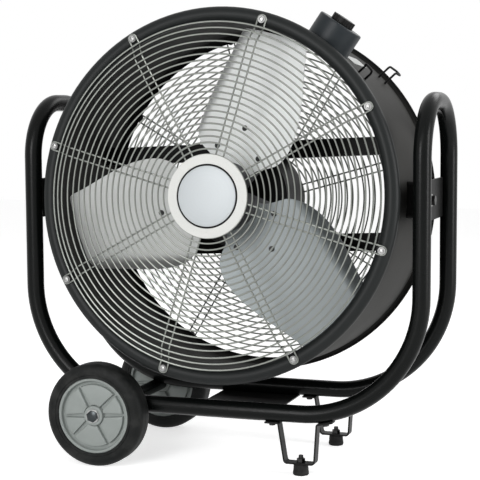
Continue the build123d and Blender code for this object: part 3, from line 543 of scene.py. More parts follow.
def finished(piece: bpy.types.Object, body: Body, finish: Finish, *stands_for: str,
             shade: bool = True) -> bpy.types.Object:
    """Bakes a piece's modifiers, gives it its finish and hangs it on its body.

    Args:
        piece: The object.
        body: The body that it rides on.
        finish: Its finish.
        stands_for: CAD nodes that it replaces.
        shade: Whether it is shaded smooth here; a piece with broken edges brings its own normals.

    Returns:
        The piece.
    """
    if piece.modifiers:
        view = bpy.context.evaluated_depsgraph_get()
        mesh = bpy.data.meshes.new_from_object(piece.evaluated_get(view))
        piece.modifiers.clear()
        piece.data = mesh
    piece.data.materials.clear()
    piece.data.materials.append(finish.material())
    if shade:
        smooth(piece.data)
    if stands_for:
        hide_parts(*stands_for)
    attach(piece, body.value)
    LOG.info("%s: %d faces on %s", piece.name, len(piece.data.polygons), body.value)
    return piece


def softened(node: str, body: Body, finish: Finish, edge: float = 0.0) -> None:
    """Replaces a CAD node by a merged, smooth copy with its sharp edges broken.

    Args:
        node: The node.
        body: The body that it rides on.
        finish: Its finish.
        edge: Width of the broken edges, in metres.
    """
    mesh = frame["nodes"][node].data.copy()
    work = bmesh.new()
    work.from_mesh(mesh)
    bmesh.ops.remove_doubles(work, verts=work.verts, dist=CAD_MERGE)
    if edge > 0:
        bmesh.ops.dissolve_limit(work, angle_limit=math.radians(FLAT_DEG), verts=work.verts, edges=work.edges)
    work.to_mesh(mesh)
    work.free()
    piece = put(f"{node}_dressed", mesh)
    if edge > 0:
        smooth(mesh)
        bevel = piece.modifiers.new("broken edges", "BEVEL")
        bevel.width, bevel.segments = edge, 2
        bevel.limit_method, bevel.angle_limit = "ANGLE", math.radians(BROKEN_DEG)
        bevel.use_clamp_overlap = True
        bevel.harden_normals = True
    finished(piece, body, finish, node, shade=edge <= 0)


def soften_all(body: Body, *rows: tuple[Finish, float, str]) -> None:
    """Softens many CAD nodes of one body.

    Args:
        body: The body that they ride on.
        rows: A finish, the width of the broken edges, and the names of the nodes in one string.
    """
    for finish, edge, nodes in rows:
        for node in nodes.split():
            softened(node, body, finish, edge)


# ================================================================ meshes
def plain_mesh(name: str, points: Sequence[Any], faces: Sequence[Sequence[int]] = ()) -> bpy.types.Mesh:
    """A mesh of points and, where it has them, faces.

    Args:
        name: The mesh's name.
        points: Its points.
        faces: Its faces, as numbers of points.

    Returns:
        The mesh.
    """
    mesh = bpy.data.meshes.new(name)
    mesh.from_pydata(points, [], faces)
    return mesh


def lofted(name: str, lofts: Iterable[list[list[Vector]]], closed: bool = False,
           base: bpy.types.Mesh | None = None) -> bpy.types.Mesh:
    """A mesh of lofts, each through rings with the same number of points.

    Args:
        name: The mesh's name.
        lofts: The rings of each loft.
        closed: Whether the last ring joins the first; otherwise both ends are capped.
        base: A mesh to add the lofts to.

    Returns:
        The mesh.
    """
    work = bmesh.new()
    if base is not None:
        work.from_mesh(base)
    for loft in lofts:
        rings = [[work.verts.new(point) for point in ring] for ring in loft]
        for lower, upper in zip(rings, rings[1:] + rings[:1] if closed else rings[1:]):
            for here in range(len(lower)):
                after = (here + 1) % len(lower)
                work.faces.new((lower[here], lower[after], upper[after], upper[here]))
        if not closed:
            work.faces.new(rings[0])
            work.faces.new(rings[-1])
    bmesh.ops.remove_doubles(work, verts=work.verts, dist=OWN_MERGE)
    bmesh.ops.recalc_face_normals(work, faces=work.faces)
    mesh = bpy.data.meshes.new(name)
    work.to_mesh(mesh)
    work.free()
    return mesh


def circle(steps: int, start: float = 0.0) -> list[float]:
    """Evenly spaced angles of a full turn.

    Args:
        steps: How many.
        start: The first one, in radians.

    Returns:
        The angles, in radians.
    """
    return [start + 2 * math.pi * step / steps for step in range(steps)]


def turned_mesh(name: str, section: Outline, place: Matrix, steps: int) -> bpy.types.Mesh:
    """A closed solid of revolution about the z of a place.

    Args:
        name: The mesh's name.
        section: Closed half section as (radius, height) points.
        place: Where its axis lies.
        steps: Facets round the axis.

    Returns:
        The mesh, in the row frame.
    """
    rings = [[place @ Vector((radius * math.cos(a), radius * math.sin(a), height)) for radius, height in section]
             for a in circle(steps)]
    return lofted(name, [rings], closed=True)


def turned(name: str, section: Outline, place: Matrix, steps: int, body: Body, finish: Finish,
           *stands_for: str) -> None:
    """A finished solid of revolution about the z of a place.

    Args:
        name: The piece's name.
        section: Closed half section as (radius, height) points.
        place: Where its axis lies.
        steps: Facets round the axis.
        body: The body that it rides on.
        finish: Its finish.
        stands_for: CAD nodes that it replaces.
    """
    finished(put(name, turned_mesh(name, section, place, steps)), body, finish, *stands_for)


def arc(centre: tuple[float, float], radius: float, start: float, end: float, steps: int) -> Outline:
    """Points on an arc of a section.

    Args:
        centre: Its centre.
        radius: Its radius.
        start: First angle in degrees.
        end: Last angle in degrees.
        steps: Number of pieces.

    Returns:
        The points from start to end.
    """
    angles = [math.radians(start + (end - start) * step / steps) for step in range(steps + 1)]
    return [(centre[0] + radius * math.cos(a), centre[1] + radius * math.sin(a)) for a in angles]


def filleted(corners: Sequence[Vector], bends: Sequence[float], steps: int = 8) -> list[Vector]:
    """A route with its corners rounded.

    Args:
        corners: The route's corners.
        bends: The radius at each inner corner.
        steps: Pieces in each round.

    Returns:
        Points along the rounded route.
    """
    route = [corners[0]]
    for before, corner, after, radius in zip(corners, corners[1:], corners[2:], bends):
        one, two = (before - corner).normalized(), (after - corner).normalized()
        half = one.angle(two) / 2
        centre = corner + (one + two).normalized() * (radius / math.sin(half))
        first, last = ((corner + way * (radius / math.tan(half)) - centre).normalized() for way in (one, two))
        route += [centre + first.slerp(last, step / steps) * radius for step in range(steps + 1)]
    return [*route, corners[-1]]


def wire_mesh(name: str, route: Sequence[Vector], radius: float, sides: int) -> bpy.types.Mesh:
    """A round wire along a route, with closed ends.

    Args:
        name: The mesh's name.
        route: Points along it.
        radius: The wire's radius.
        sides: Facets round it.

    Returns:
        The mesh.
    """
    rings = []
    aside = (route[1] - route[0]).orthogonal()
    for before, point, after in zip([route[0], *route], route, [*route[1:], route[-1]]):
        ahead = (after - before).normalized()
        aside = (aside - ahead * aside.dot(ahead)).normalized()
        other = ahead.cross(aside)
        rings.append([point + (aside * math.cos(a) + other * math.sin(a)) * radius for a in circle(sides)])
    return lofted(name, [rings])


# ================================================================ geometry trees
class Growth(NodeTree):
    """A Geometry Nodes tree with named inputs."""

    def __init__(self, name: str) -> None:
        """Starts a tree that takes and gives geometry.

        Args:
            name: The tree's name.
        """
        super().__init__(bpy.data.node_groups.new(name, "GeometryNodeTree"))
        self.identifiers: dict[str, str] = {}
        for way in ("INPUT", "OUTPUT"):
            self.tree.interface.new_socket("Geometry", in_out=way, socket_type="NodeSocketGeometry")
        self.start = self.tree.nodes.new("NodeGroupInput")
        self.end = self.tree.nodes.new("NodeGroupOutput")

    def given(self) -> Signal:
        """The geometry that the tree is given."""
        return Signal(self, self.start.outputs[0])

    def size(self, name: str, kind: str = "Float") -> Signal:
        """Adds a named input.

        Args:
            name: The input's name.
            kind: Float, Int or Material.

        Returns:
            The input inside the tree.
        """
        item = self.tree.interface.new_socket(name, in_out="INPUT", socket_type=f"NodeSocket{kind}")
        self.identifiers[name] = item.identifier
        return Signal(self, next(s for s in self.start.outputs if s.identifier == item.identifier))

    def close(self, geometry: Signal, in_drum: bool) -> None:
        """Ends the tree in real geometry with its material.

        Args:
            geometry: The last geometry.
            in_drum: Whether it is made in the drum's own axes and has to be moved.
        """
        if in_drum:
            values = {"Geometry": geometry, "Translation": PIVOT, "Rotation": DRUM_FRAME.to_euler()}
            geometry = self.add("GeometryNodeTransform", values=values)
        real = self.add("GeometryNodeRealizeInstances", values={0: geometry})
        material = self.size("Material", "Material")
        dressed = self.add("GeometryNodeSetMaterial", values={"Geometry": real, "Material": material})
        self.feed(self.end.inputs[0], dressed)


def grown(growth: Growth, name: str, mesh: bpy.types.Mesh, body: Body, finish: Finish, *stands_for: str,
          **sizes: Any) -> None:
    """A finished piece that a tree grows from a mesh.

    Args:
        growth: The tree.
        name: The piece's name.
        mesh: The mesh.
        body: The body that it rides on.
        finish: Its finish.
        stands_for: CAD nodes that it replaces.
        sizes: The tree's inputs; underscores in names stand for spaces.
    """
    piece = put(name, mesh)
    modifier = piece.modifiers.new(growth.tree.name, "NODES")
    modifier.node_group = growth.tree
    for size, value in {**sizes, "Material": finish.material()}.items():
        modifier[growth.identifiers[size.replace("_", " ")]] = value
    finished(piece, body, finish, *stands_for)


def polar_copies() -> Growth:
    """Makes a tree that sets copies of a piece, made at angle 0, evenly round the fan's axis.

    Returns:
        The tree.
    """
    growth = Growth("polar copies")
    count, first = growth.size("Count", "Int"), growth.size("First Angle")
    spots = growth.add("GeometryNodePoints", values={"Count": count})
    angle = growth.add("GeometryNodeInputIndex") * (2 * math.pi / count) + first
    turn = growth.add("ShaderNodeCombineXYZ", values={2: angle})
    values = {"Points": spots, "Instance": growth.given(), "Rotation": turn}
    growth.close(growth.add("GeometryNodeInstanceOnPoints", values=values), in_drum=True)
    return growth


def ring_stack() -> Growth:
    """Makes a tree of wire rings whose radius and depth change evenly from one to the next.

    Returns:
        The tree.
    """
    growth = Growth("ring stack")
    count = growth.size("Count", "Int")
    radius, radius_step, depth, depth_step, wire = (
        growth.size(name) for name in ("First Radius", "Radius Step", "First Depth", "Depth Step", "Wire Radius"))
    index = growth.add("GeometryNodeInputIndex")
    height = growth.add("ShaderNodeCombineXYZ", values={2: index * depth_step + depth})
    spots = growth.add("GeometryNodePoints", values={"Count": count, "Position": height})
    reach = index * radius_step + radius
    scale = growth.add("ShaderNodeCombineXYZ", values={0: reach, 1: reach, 2: reach})
    ring, section = (growth.add("GeometryNodeCurvePrimitiveCircle", values={"Resolution": facets, "Radius": size})
                     for facets, size in ((RING_FACETS, 1.0), (WIRE_FACETS, wire)))
    rings = growth.add("GeometryNodeInstanceOnPoints", values={"Points": spots, "Instance": ring, "Scale": scale})
    real = growth.add("GeometryNodeRealizeInstances", values={0: rings})
    solid = growth.add("GeometryNodeCurveToMesh", values={"Curve": real, "Profile Curve": section})
    growth.close(solid, in_drum=True)
    return growth


def weld_beads(name: str, points: Sequence[Vector], body: Body, finish: Finish, radius: float,
               largest: float) -> None:
    """Beads of weld of uneven size.

    Args:
        name: The piece's name.
        points: Where the beads sit.
        body: The body that they ride on.
        finish: Their finish.
        radius: Radius of a bead.
        largest: Largest factor of it.
    """
    growth = Growth("weld spots")
    values = {"Segments": 8, "Rings": 4, "Radius": growth.size("Bead Radius")}
    bead = growth.add("GeometryNodeMeshUVSphere", values=values)
    spots = growth.add("GeometryNodeMeshToPoints", values={0: growth.given()})
    low, high = growth.size("Smallest"), growth.size("Largest")
    scale = growth.add("FunctionNodeRandomValue", {"data_type": "FLOAT"}, {2: low, 3: high, "Seed": 11}, 1)
    values = {"Points": spots, "Instance": bead, "Scale": scale}
    growth.close(growth.add("GeometryNodeInstanceOnPoints", values=values), in_drum=False)
    grown(growth, name, plain_mesh(name, points), body, finish, Bead_Radius=radius, Smallest=0.85, Largest=largest)


# ================================================================ sub-assemblies
@dataclass
class Cradle:
    """The bent-tube cradle with its plates, axle tube, legs, feet and fasteners."""

    base_front: float = -0.106
    base_thickness: float = 0.002
    base_corner: float = 0.008
    corner_steps: int = 5
    head_across: float = 0.0185
    head_crown: float = 0.0016
    head_step: float = 0.0004
    head_turn: float = 12.0
    head_round: float = 0.93
    head_facets: int = 24
    foot_flare: float = 0.0138
    foot_top: float = 0.0123
    foot_bore: float = 0.0041
    foot_facets: int = 48
    plate_edge: float = 0.0006
    bolt_edge: float = 0.0005
    bead_radius: float = 0.0022
    bead_pitch: float = 0.0026
    bead_inset: float = 0.0007

    def dress(self) -> None:
        """Builds and finishes every piece of the cradle."""
        soften_all(
            Body.FRAME,
            (Palette.TUBE, 0.0, "front_frame_tube rear_frame_tube left_arch_tube right_arch_tube axle_tube"),
            (Palette.STRAP, self.plate_edge, "left_pivot_plate right_pivot_plate front_leg_strap rear_leg_strap"),
            (Palette.CLIP_HEAD, self.bolt_edge, "pivot_washers axle_washers"),
            (Palette.BLACK_ZINC, self.bolt_edge, "pivot_bolts leg_bolts foot_nuts"),
            (Palette.ZINC, 0.0, "pivot_lock_nuts wheel_axle"),
            (Palette.BLACK_ZINC, self.bolt_edge, "foot_studs"),
        )
        self.base_plate()
        self.axle_ends()
        for side in Side:
            self.foot(side)
        self.weld_plates()

    def base_plate(self) -> None:
        """The plate under the bottom tubes, with rounded corners; the front tube hides its front edge."""
        low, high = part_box("base_plate")
        corner, outline = self.base_corner, []
        corners = ((high.x, high.y), (low.x, high.y), (low.x, self.base_front), (high.x, self.base_front))
        for quarter, (x, y) in enumerate(corners):
            centre = (x - math.copysign(corner, x), y - corner if quarter < 2 else y + corner)
            outline += arc(centre, corner, quarter * 90, quarter * 90 + 90, self.corner_steps)
        rings = [[Vector((x, y, z)) for x, y in outline] for z in (high.z - self.base_thickness, high.z)]
        plate = put("fitted_base_plate", lofted("base_plate", [rings]))
        finished(plate, Body.FRAME, Palette.STRAP, "base_plate")

    def head_ring(self, share: float | None, depth: float) -> list[Vector]:
        """One ring of a hex head, about the y axis.

        Args:
            share: Share of the round top's radius, or None for the six sides.
            depth: The ring's y.

        Returns:
            Its points.
        """
        half_side, start = math.radians(30), math.radians(self.head_turn)
        ring = []
        for angle in circle(self.head_facets):
            off_flat = (angle + half_side) % (2 * half_side) - half_side
            side = self.head_across / 2 / math.cos(off_flat)
            top = self.head_round * self.head_across / 2 / math.cos(half_side)
            reach = side if share is None else share * top
            ring.append(Vector((reach * math.cos(start + angle), depth, reach * math.sin(start + angle))))
        return ring

    def axle_ends(self) -> None:
        """Crowned hex heads at both ends of the wheel axle."""
        low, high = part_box("axle_end_bolts")
        centre = Vector(((low.x + high.x) / 2, 0, (low.z + high.z) / 2))
        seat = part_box("axle_washers")[1].y
        heads = []
        for end in (high.y, low.y):
            out = math.copysign(1.0, end)
            shoulder = end - out * self.head_crown
            layers = ((None, out * seat), (None, shoulder - out * self.head_step), (0.93, shoulder),
                      (0.62, end - out * self.head_step), (0.30, end))
            heads.append([[centre + point for point in self.head_ring(*layer)] for layer in layers])
        piece = put("axle_end_heads", lofted("axle_end_heads", heads))
        finished(piece, Body.FRAME, Palette.DARK_CHROME, "axle_end_bolts")

    def foot(self, side: Side) -> None:
        """A rubber foot that flares towards the floor, with a rounded tread edge.

        Args:
            side: The row of tube that it stands under.
        """
        node = f"{side.value}_foot"
        low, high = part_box(node)
        flare, top, tall = self.foot_flare, self.foot_top, high.z - low.z
        section = [
            (self.foot_bore, 0.0), (flare - 0.0030, 0.0), (flare - 0.0012, 0.0006), (flare - 0.0002, 0.0020),
            (flare, 0.0038), (flare - 0.0007, 0.0085), (flare - 0.0013, 0.0088), (flare - 0.0013, 0.0097),
            (flare - 0.0009, 0.0100), (top + 0.0001, tall - 0.0012), (top - 0.0010, tall), (self.foot_bore, tall),
        ]
        place = Matrix.Translation(((low.x + high.x) / 2, (low.y + high.y) / 2, low.z))
        turned(f"{node}_dressed", section, place, self.foot_facets, Body.FRAME, Palette.FOOT, node)

    def weld_plates(self) -> None:
        """Beads of weld where the pivot plates meet the upright tubes."""
        points = []
        for node, left in (("left_pivot_plate", True), ("right_pivot_plate", False)):
            low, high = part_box(node)
            tall = high.z - low.z
            count = int(tall / self.bead_pitch)
            for edge in (low.y, high.y):
                y = edge - math.copysign(self.bead_inset, edge)
                points += [Vector((high.x if left else low.x, y, low.z + tall * step / count))
                           for step in range(1, count)]
        weld_beads("plate_welds", points, Body.FRAME, Palette.STRAP, self.bead_radius, 1.15)


@dataclass
class Wheel:
    """One wheel: a rubber tyre with round shoulders and a mould line, and a moulded rim."""

    side: Side
    body: Body
    radius: float = 0.090
    width: float = 0.048
    shoulder: float = 0.014
    shoulder_steps: int = 8
    seat: float = 0.066
    mould_line: float = 0.0005
    ring_groove: float = 0.0008
    steps: int = 96
    lip_width: float = 0.005
    lip_half: float = 0.0215
    hub_radius: float = 0.017
    bore: float = 0.0063
    web_half: float = 0.0125
    pad_half: float = 0.0185
    pad_reach: float = 0.0550
    pad_steps: int = 14
    gap_angles: tuple[float, ...] = (4.0, 44.0, 119.0, 184.0, 224.0, 299.0)
    gap_at_hub: float = 0.0030
    gap_at_lip: float = 0.0016
    round_off: float = 0.0010

    def dress(self) -> None:
        """Builds the tyre and the rim."""
        node = f"{self.side.value}_wheel"
        low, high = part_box(f"{node}_tyre")
        place = Matrix.Translation((low + high) / 2) @ Euler((math.radians(90), 0, 0)).to_matrix().to_4x4()
        turned(f"{self.side.value}_tyre", self.tyre_section(), place, self.steps, self.body, Palette.TYRE,
               f"{node}_tyre")
        base = turned_mesh(node, self.rim_section(), place, self.steps)
        rim = put(f"{node}_rim_dressed", lofted(node, self.pads(place), base=base))
        finished(rim, self.body, Palette.WHEEL, f"{node}_rim")

    def tyre_section(self) -> Outline:
        """Draws the tyre's closed half section.

        Returns:
            Its points, from the seat round the tread and back.
        """
        half, crown = self.width / 2, self.radius - self.shoulder
        flat, wall = half - self.shoulder, crown - 0.004
        lower = [(self.seat, -half), (wall - 0.0022, -half), (wall - 0.0011, self.ring_groove - half), (wall, -half)]
        tread = [(self.radius, -0.0006), (self.radius - self.mould_line, 0.0), (self.radius, 0.0006)]
        below = arc((crown, -flat), self.shoulder, -90, 0, self.shoulder_steps)
        above = arc((crown, flat), self.shoulder, 0, 90, self.shoulder_steps)
        return lower + below + tread + above + [(radius, -height) for radius, height in reversed(lower)]

    def rim_section(self) -> Outline:
        """Draws the rim's closed half section.

        Returns:
            Its points: hub, web and raised lip on both faces.
        """
        lip, hub, seat = self.seat - self.lip_width, self.hub_radius, self.seat
        high, web, rounded = self.lip_half, self.web_half, self.round_off
        face = [(self.bore, high), (hub - rounded, high), (hub, high - rounded), (hub + 0.0012, web),
                (lip - 0.0022, web), (lip - 0.0006, web + 0.0016), (lip, high - rounded), (lip + rounded, high),
                (seat - rounded, high), (seat, high - rounded)]
        return face + [(radius, -height) for radius, height in reversed(face)]

    def pad_outline(self, start: float, end: float, inset: float) -> Outline:
        """The outline of one raised pad between two gaps.

        Args:
            start: Angle of the gap before it, in degrees.
            end: Angle of the gap after it.
            inset: How far the outline is drawn in.

        Returns:
            Its corners, as points on the wheel's face.
        """
        inner, outer = self.hub_radius + 0.0005 + inset, self.pad_reach - inset
        points = []
        for radius, gap, way in ((outer, self.gap_at_lip, 1), (inner, self.gap_at_hub, -1)):
            aside = math.degrees(math.asin((gap + inset) / radius))
            points += arc((0.0, 0.0), radius, start + aside, end - aside, self.pad_steps)[::way]
        return points

    def pads(self, place: Matrix) -> Iterable[list[list[Vector]]]:
        """The rings of the six raised pads on each face, each a low block with a rounded edge.

        Args:
            place: The wheel's axis.

        Yields:
            The rings of one pad.
        """
        top = self.pad_half
        levels = ((0.0, self.web_half - 0.001), (0.0010, top - 0.0010), (0.0014, top - 0.0003), (0.0022, top))
        for start, end in zip(self.gap_angles, (*self.gap_angles[1:], self.gap_angles[0] + 360.0)):
            for face in (-1, 1):
                yield [[place @ Vector((x, y, face * height)) for x, y in self.pad_outline(start, end, inset)]
                       for inset, height in levels]


@dataclass
class WireGuard:
    """One welded wire guard: rings, hairpin ribs, weld spots, and its screws and washers."""

    name: str
    wire: float
    ring_sets: tuple[tuple[int, float, float, float, float], ...]
    rib_route: tuple[tuple[float, float], ...]
    rib_bends: tuple[float, ...]
    first_angle: float
    seat_depth: float
    outward: int
    rib_count: int = 8
    half_gap: float = 0.007
    clip_radius: float = 0.3046
    loop_bend: float = 0.006625
    washer_bore: float = 0.0027
    washer_radius: float = 0.0066
    washer_thickness: float = 0.0012
    washer_edge: float = 0.0003
    washer_facets: int = 24
    head_radius: float = 0.0042
    head_height: float = 0.0024
    head_facets: int = 32
    head_layers: int = 7
    head_drop: float = 0.30
    slot_reach: float = 0.62
    slot_width: float = 0.0014
    slot_depth: float = 0.0013

    def dress(self) -> None:
        """Builds the whole guard."""
        polar = {"Count": self.rib_count, "First_Angle": math.radians(self.first_angle)}
        self.rings()
        grown(polar_copies(), f"{self.name}_ribs", self.rib(), Body.DRUM, Palette.WIRE, f"{self.name}_guard_ribs",
              **polar)
        weld_beads(f"{self.name}_weld_spots", list(self.crossings()), Body.DRUM, Palette.WELD, self.wire * 0.8, 1.1)
        clip = Matrix.Translation(Vector((self.clip_radius, 0, 0)))
        washer = turned_mesh("washer", self.washer_section(), clip, self.washer_facets)
        grown(polar_copies(), f"{self.name}_washers", washer, Body.DRUM, Palette.CLIP_WASHER, **polar)
        grown(polar_copies(), f"{self.name}_screws", self.pan_head(clip), Body.DRUM, Palette.CLIP_HEAD, **polar)

    def rings(self) -> None:
        """The rings, one piece for each set; the first stands for the CAD's."""
        for number, (count, radius, radius_step, depth, depth_step) in enumerate(self.ring_sets):
            grown(ring_stack(), f"{self.name}_rings_{number}", bpy.data.meshes.new("seed"), Body.DRUM, Palette.WIRE,
                  *([] if number else [f"{self.name}_guard_rings"]), Count=count, First_Radius=radius,
                  Radius_Step=radius_step, First_Depth=depth, Depth_Step=depth_step, Wire_Radius=self.wire)

    def rib(self) -> bpy.types.Mesh:
        """Bends one hairpin rib at angle 0: out, round the screw, and back.

        Returns:
            Its mesh.
        """
        out = [Vector((radius, self.half_gap, depth)) for radius, depth in self.rib_route]
        corners = out + [Vector((corner.x, -corner.y, corner.z)) for corner in reversed(out)]
        bends = (*self.rib_bends, self.loop_bend, self.loop_bend, *reversed(self.rib_bends))
        return wire_mesh(f"{self.name}_rib", filleted(corners, bends), self.wire, WIRE_FACETS)

    def crossings(self) -> Iterable[Vector]:
        """Finds where the rings cross the wires of the ribs.

        Yields:
            Each crossing, in the row frame.
        """
        for count, radius, radius_step, depth, depth_step in self.ring_sets:
            for number in range(count):
                ring, height = radius + number * radius_step, depth + number * depth_step
                along = math.sqrt(ring * ring - self.half_gap**2)
                for angle in circle(self.rib_count, math.radians(self.first_angle)):
                    spin = Matrix.Rotation(angle, 4, "Z")
                    for aside in (self.half_gap, -self.half_gap):
                        yield DRUM_FRAME @ (spin @ Vector((along, aside, height - self.outward * self.wire)))

    def washer_section(self) -> Outline:
        """Draws a washer's closed half section.

        Returns:
            Its points, with the outer edges broken.
        """
        bore, radius, thick, edge = self.washer_bore, self.washer_radius, self.washer_thickness, self.washer_edge
        section = ((bore, 0.0), (radius - edge, 0.0), (radius, edge), (radius, thick - edge),
                   (radius - edge, thick), (bore, thick))
        return [(reach, self.seat_depth + self.outward * height) for reach, height in section]

    def head_ring(self, place: Matrix, share: float, height: float) -> list[Vector]:
        """One ring of a pan head.

        Args:
            place: The screw's axis.
            share: Share of the head's radius.
            height: Height over the washer, outside the cross.

        Returns:
            Its points.
        """
        radius, points = self.head_radius * share, []
        for angle in circle(self.head_facets):
            x, y = radius * math.cos(angle), radius * math.sin(angle)
            pressed = share < self.slot_reach and min(abs(x), abs(y)) < self.slot_width / 2
            lift = self.washer_thickness + height - self.slot_depth * pressed
            points.append(place @ Vector((x, y, self.seat_depth + self.outward * lift)))
        return points

    def pan_head(self, place: Matrix) -> bpy.types.Mesh:
        """A pan head whose top has a cross pressed into it.

        Args:
            place: The screw's axis.

        Returns:
            Its mesh at angle 0.
        """
        shares = [layer / self.head_layers for layer in range(self.head_layers + 1)]
        rings = [self.head_ring(place, share, self.head_height * (1 - self.head_drop * share**4)) for share in shares]
        return lofted("pan_head", [[*rings, self.head_ring(place, 1.0, 0.0)]])


@dataclass
class Drum:
    """The shell, its rims, brackets, motor, badge, controls and cord hooks."""

    badge_radius: float = 0.070
    badge_back: float = 0.16655
    badge_front: float = 0.16855
    badge_steps: int = 128
    groove_outer: float = 0.0538
    groove_depth: float = 0.0012
    dome_radius: float = 0.0506
    dome_height: float = 0.005
    dome_wall: float = 0.0009
    dome_roundness: float = 1.3
    dome_steps: int = 24
    shell_radius: float = 0.311
    shell_wall: float = 0.0015
    shell_front: float = 0.1186
    shell_steps: int = 384
    bead_radius: float = 0.0105
    bead_ring: float = 0.309
    bead_depth: float = -0.1465
    curl_lips: tuple[float, float] = (-189.9, -191.5)
    mouth_lips: tuple[float, float] = (152.2, 156.4)
    curl_steps: int = 26
    mouth_steps: int = 7
    hook_angle: float = 43.0
    hook_depth: float = -0.100
    hook_arm: float = 0.027
    hook_lean: float = 0.020
    hook_skew: float = 0.008
    hook_half_width: float = 0.008
    hook_wire: float = 0.002
    hook_bends: tuple[float, ...] = (0.004, 0.0045, 0.0045, 0.004)
    hook_facets: int = 12

    def dress(self) -> None:
        """Finishes every piece of the drum but its guards."""
        self.shell()
        soften_all(
            Body.DRUM,
            (Palette.RIM, 0.0, "front_rim"),
            (Palette.BRACKET, 0.0010, "left_pivot_bracket right_pivot_bracket"),
            (Palette.BRACKET, 0.0008, "upper_motor_bar lower_motor_bar"),
            (Palette.MOTOR, 0.0008, "motor_housing"),
            (Palette.MOTOR, 0.0, "motor_front_cover"),
            (Palette.ZINC, 0.0005, "motor_bolts"),
            (Palette.STEEL, 0.0006, "motor_bearings"),
            (Palette.CORE, 0.0, "stator_core"),
            (Palette.COPPER, 0.0030, "stator_windings"),
        )
        self.badge()
        soften_all(
            Body.DRUM,
            (Palette.CONTROL, 0.0016, "control_housing"),
            (Palette.CONTROL, 0.0010, "cable_gland speed_switch"),
            (Palette.PLATE, 0.0, "blank_plate"),
            (Palette.HOOK, 0.0, "inner_cord_hook"),
        )
        self.outer_hook()
        softened("speed_knob", Body.KNOB, Palette.KNOB, 0.0008)

    def shell(self) -> None:
        """The rolled drum: a thin wall whose rear edge is curled into a bead, open by a slit on the inside."""
        outer, inner = self.shell_radius, self.shell_radius - self.shell_wall
        centre, hollow = (self.bead_ring, self.bead_depth), self.bead_radius - self.shell_wall
        leave, arrive = (math.degrees(math.acos((face - self.bead_ring) / self.bead_radius))
                         for face in (outer, inner))
        section = [
            (outer, self.shell_front),
            *arc(centre, self.bead_radius, leave, self.curl_lips[0], self.curl_steps),
            *arc(centre, hollow, self.curl_lips[1], self.mouth_lips[0], self.curl_steps),
            *arc(centre, self.bead_radius, self.mouth_lips[1], arrive, self.mouth_steps),
            (inner, self.shell_front - 0.0006),
        ]
        turned("rolled_shell", section, DRUM_FRAME, self.shell_steps, Body.DRUM, Palette.SHELL, "drum_shell")

    def badge(self) -> None:
        """The brushed disc, a near-black ring of painted shade in its groove, and the low dome, all bare."""
        back, front, rim, dome = self.badge_back, self.badge_front, self.badge_radius, self.dome_radius
        groove, floor, gap = self.groove_outer, front - self.groove_depth, 0.00005
        at_drum = (DRUM_FRAME, self.badge_steps, Body.DRUM)
        disc = [(0.0, back), (rim - 0.0005, back), (rim, back + 0.0005), (rim, front - 0.0006),
                (rim - 0.0006, front), (groove + 0.0003, front), (groove, front - 0.0003), (groove, floor),
                (0.0, floor)]
        turned("badge_disc", disc, *at_drum, Palette.BADGE_RING, "guard_badge_ring")
        # a thin near-black ring on the groove's floor: painted shade, not a part of the badge
        ring = [(dome + gap, floor + 0.0001), (groove - gap, floor + 0.0001), (groove - gap, floor + 0.0004),
                (dome + gap, floor + 0.0004)]
        turned("badge_groove_shade", ring, *at_drum, Palette.GROOVE_SHADE)
        rise = self.dome_height - self.dome_wall
        crown = [(dome * math.sin(a), front + self.dome_wall + rise * math.cos(a) ** self.dome_roundness)
                 for a in (math.pi / 2 * step / self.dome_steps for step in range(self.dome_steps))]
        edge = [(dome, front + 0.0008), (dome, floor + 0.0001), (0.0, floor + 0.0001)]
        turned("badge_dome", crown + edge, *at_drum, Palette.BADGE_DOME, "guard_badge_dome")

    def outer_hook(self) -> None:
        """The outer cord hook: two arms out of the shell and a closed tip that leans to the rear."""
        at_angle = DRUM_FRAME @ Matrix.Rotation(math.radians(self.hook_angle), 4, "Z")
        foot, knee = self.shell_radius - 0.002, self.shell_radius + self.hook_arm
        half, tip, skew = self.hook_half_width, self.hook_half_width - 0.002, self.hook_skew
        corners = [(foot, half, 0.0), (knee, half, 0.0), (knee + 0.001, tip - skew, -self.hook_lean),
                   (knee + 0.001, -tip - skew, -self.hook_lean), (knee, -half, 0.0), (foot, -half, 0.0)]
        points = [at_angle @ Vector((x, y, self.hook_depth + z)) for x, y, z in corners]
        route = filleted(points, self.hook_bends)
        hook = put("outer_hook_wire", wire_mesh("outer_hook_wire", route, self.hook_wire, self.hook_facets))
        finished(hook, Body.DRUM, Palette.HOOK, "outer_cord_hook")


@dataclass
class Rotor:
    """The blades on their spider, with the shaft and the rivets."""

    first_blade: float = 74.0
    blade_pitch: float = 120.0
    blade_roughness: float = 0.44
    blade_edge: float = 0.0004
    # the same aluminium with painted light and shade: the first blade painted as lit, the second and third darker as
    # painted shade
    blade_lit_and_shaded_colours: tuple[Colour, ...] = ((0.81, 0.825, 0.82), (0.54, 0.55, 0.54), (0.26, 0.285, 0.29))

    def dress(self) -> None:
        """Finishes the rotor; every blade has its own sheet, because its lines follow it and its colour carries
        painted light and shade.
        """
        for number, colour in enumerate(self.blade_lit_and_shaded_colours, start=1):
            angle = self.first_blade + (number - 1) * self.blade_pitch
            sheet = RolledSheet(f"blade_sheet_{number}", "blade_aluminium", colour, self.blade_roughness, angle)
            softened(f"fan_blade_{number}", Body.ROTOR, sheet, self.blade_edge)
        soften_all(
            Body.ROTOR,
            (Palette.SPIDER, 0.0005, "blade_spider"),
            (Palette.BLACK_ZINC, 0.0014, "blade_rivets"),
            (Palette.STEEL, 0.0008, "motor_shaft"),
            (Palette.CORE, 0.0, "rotor_core"),
        )


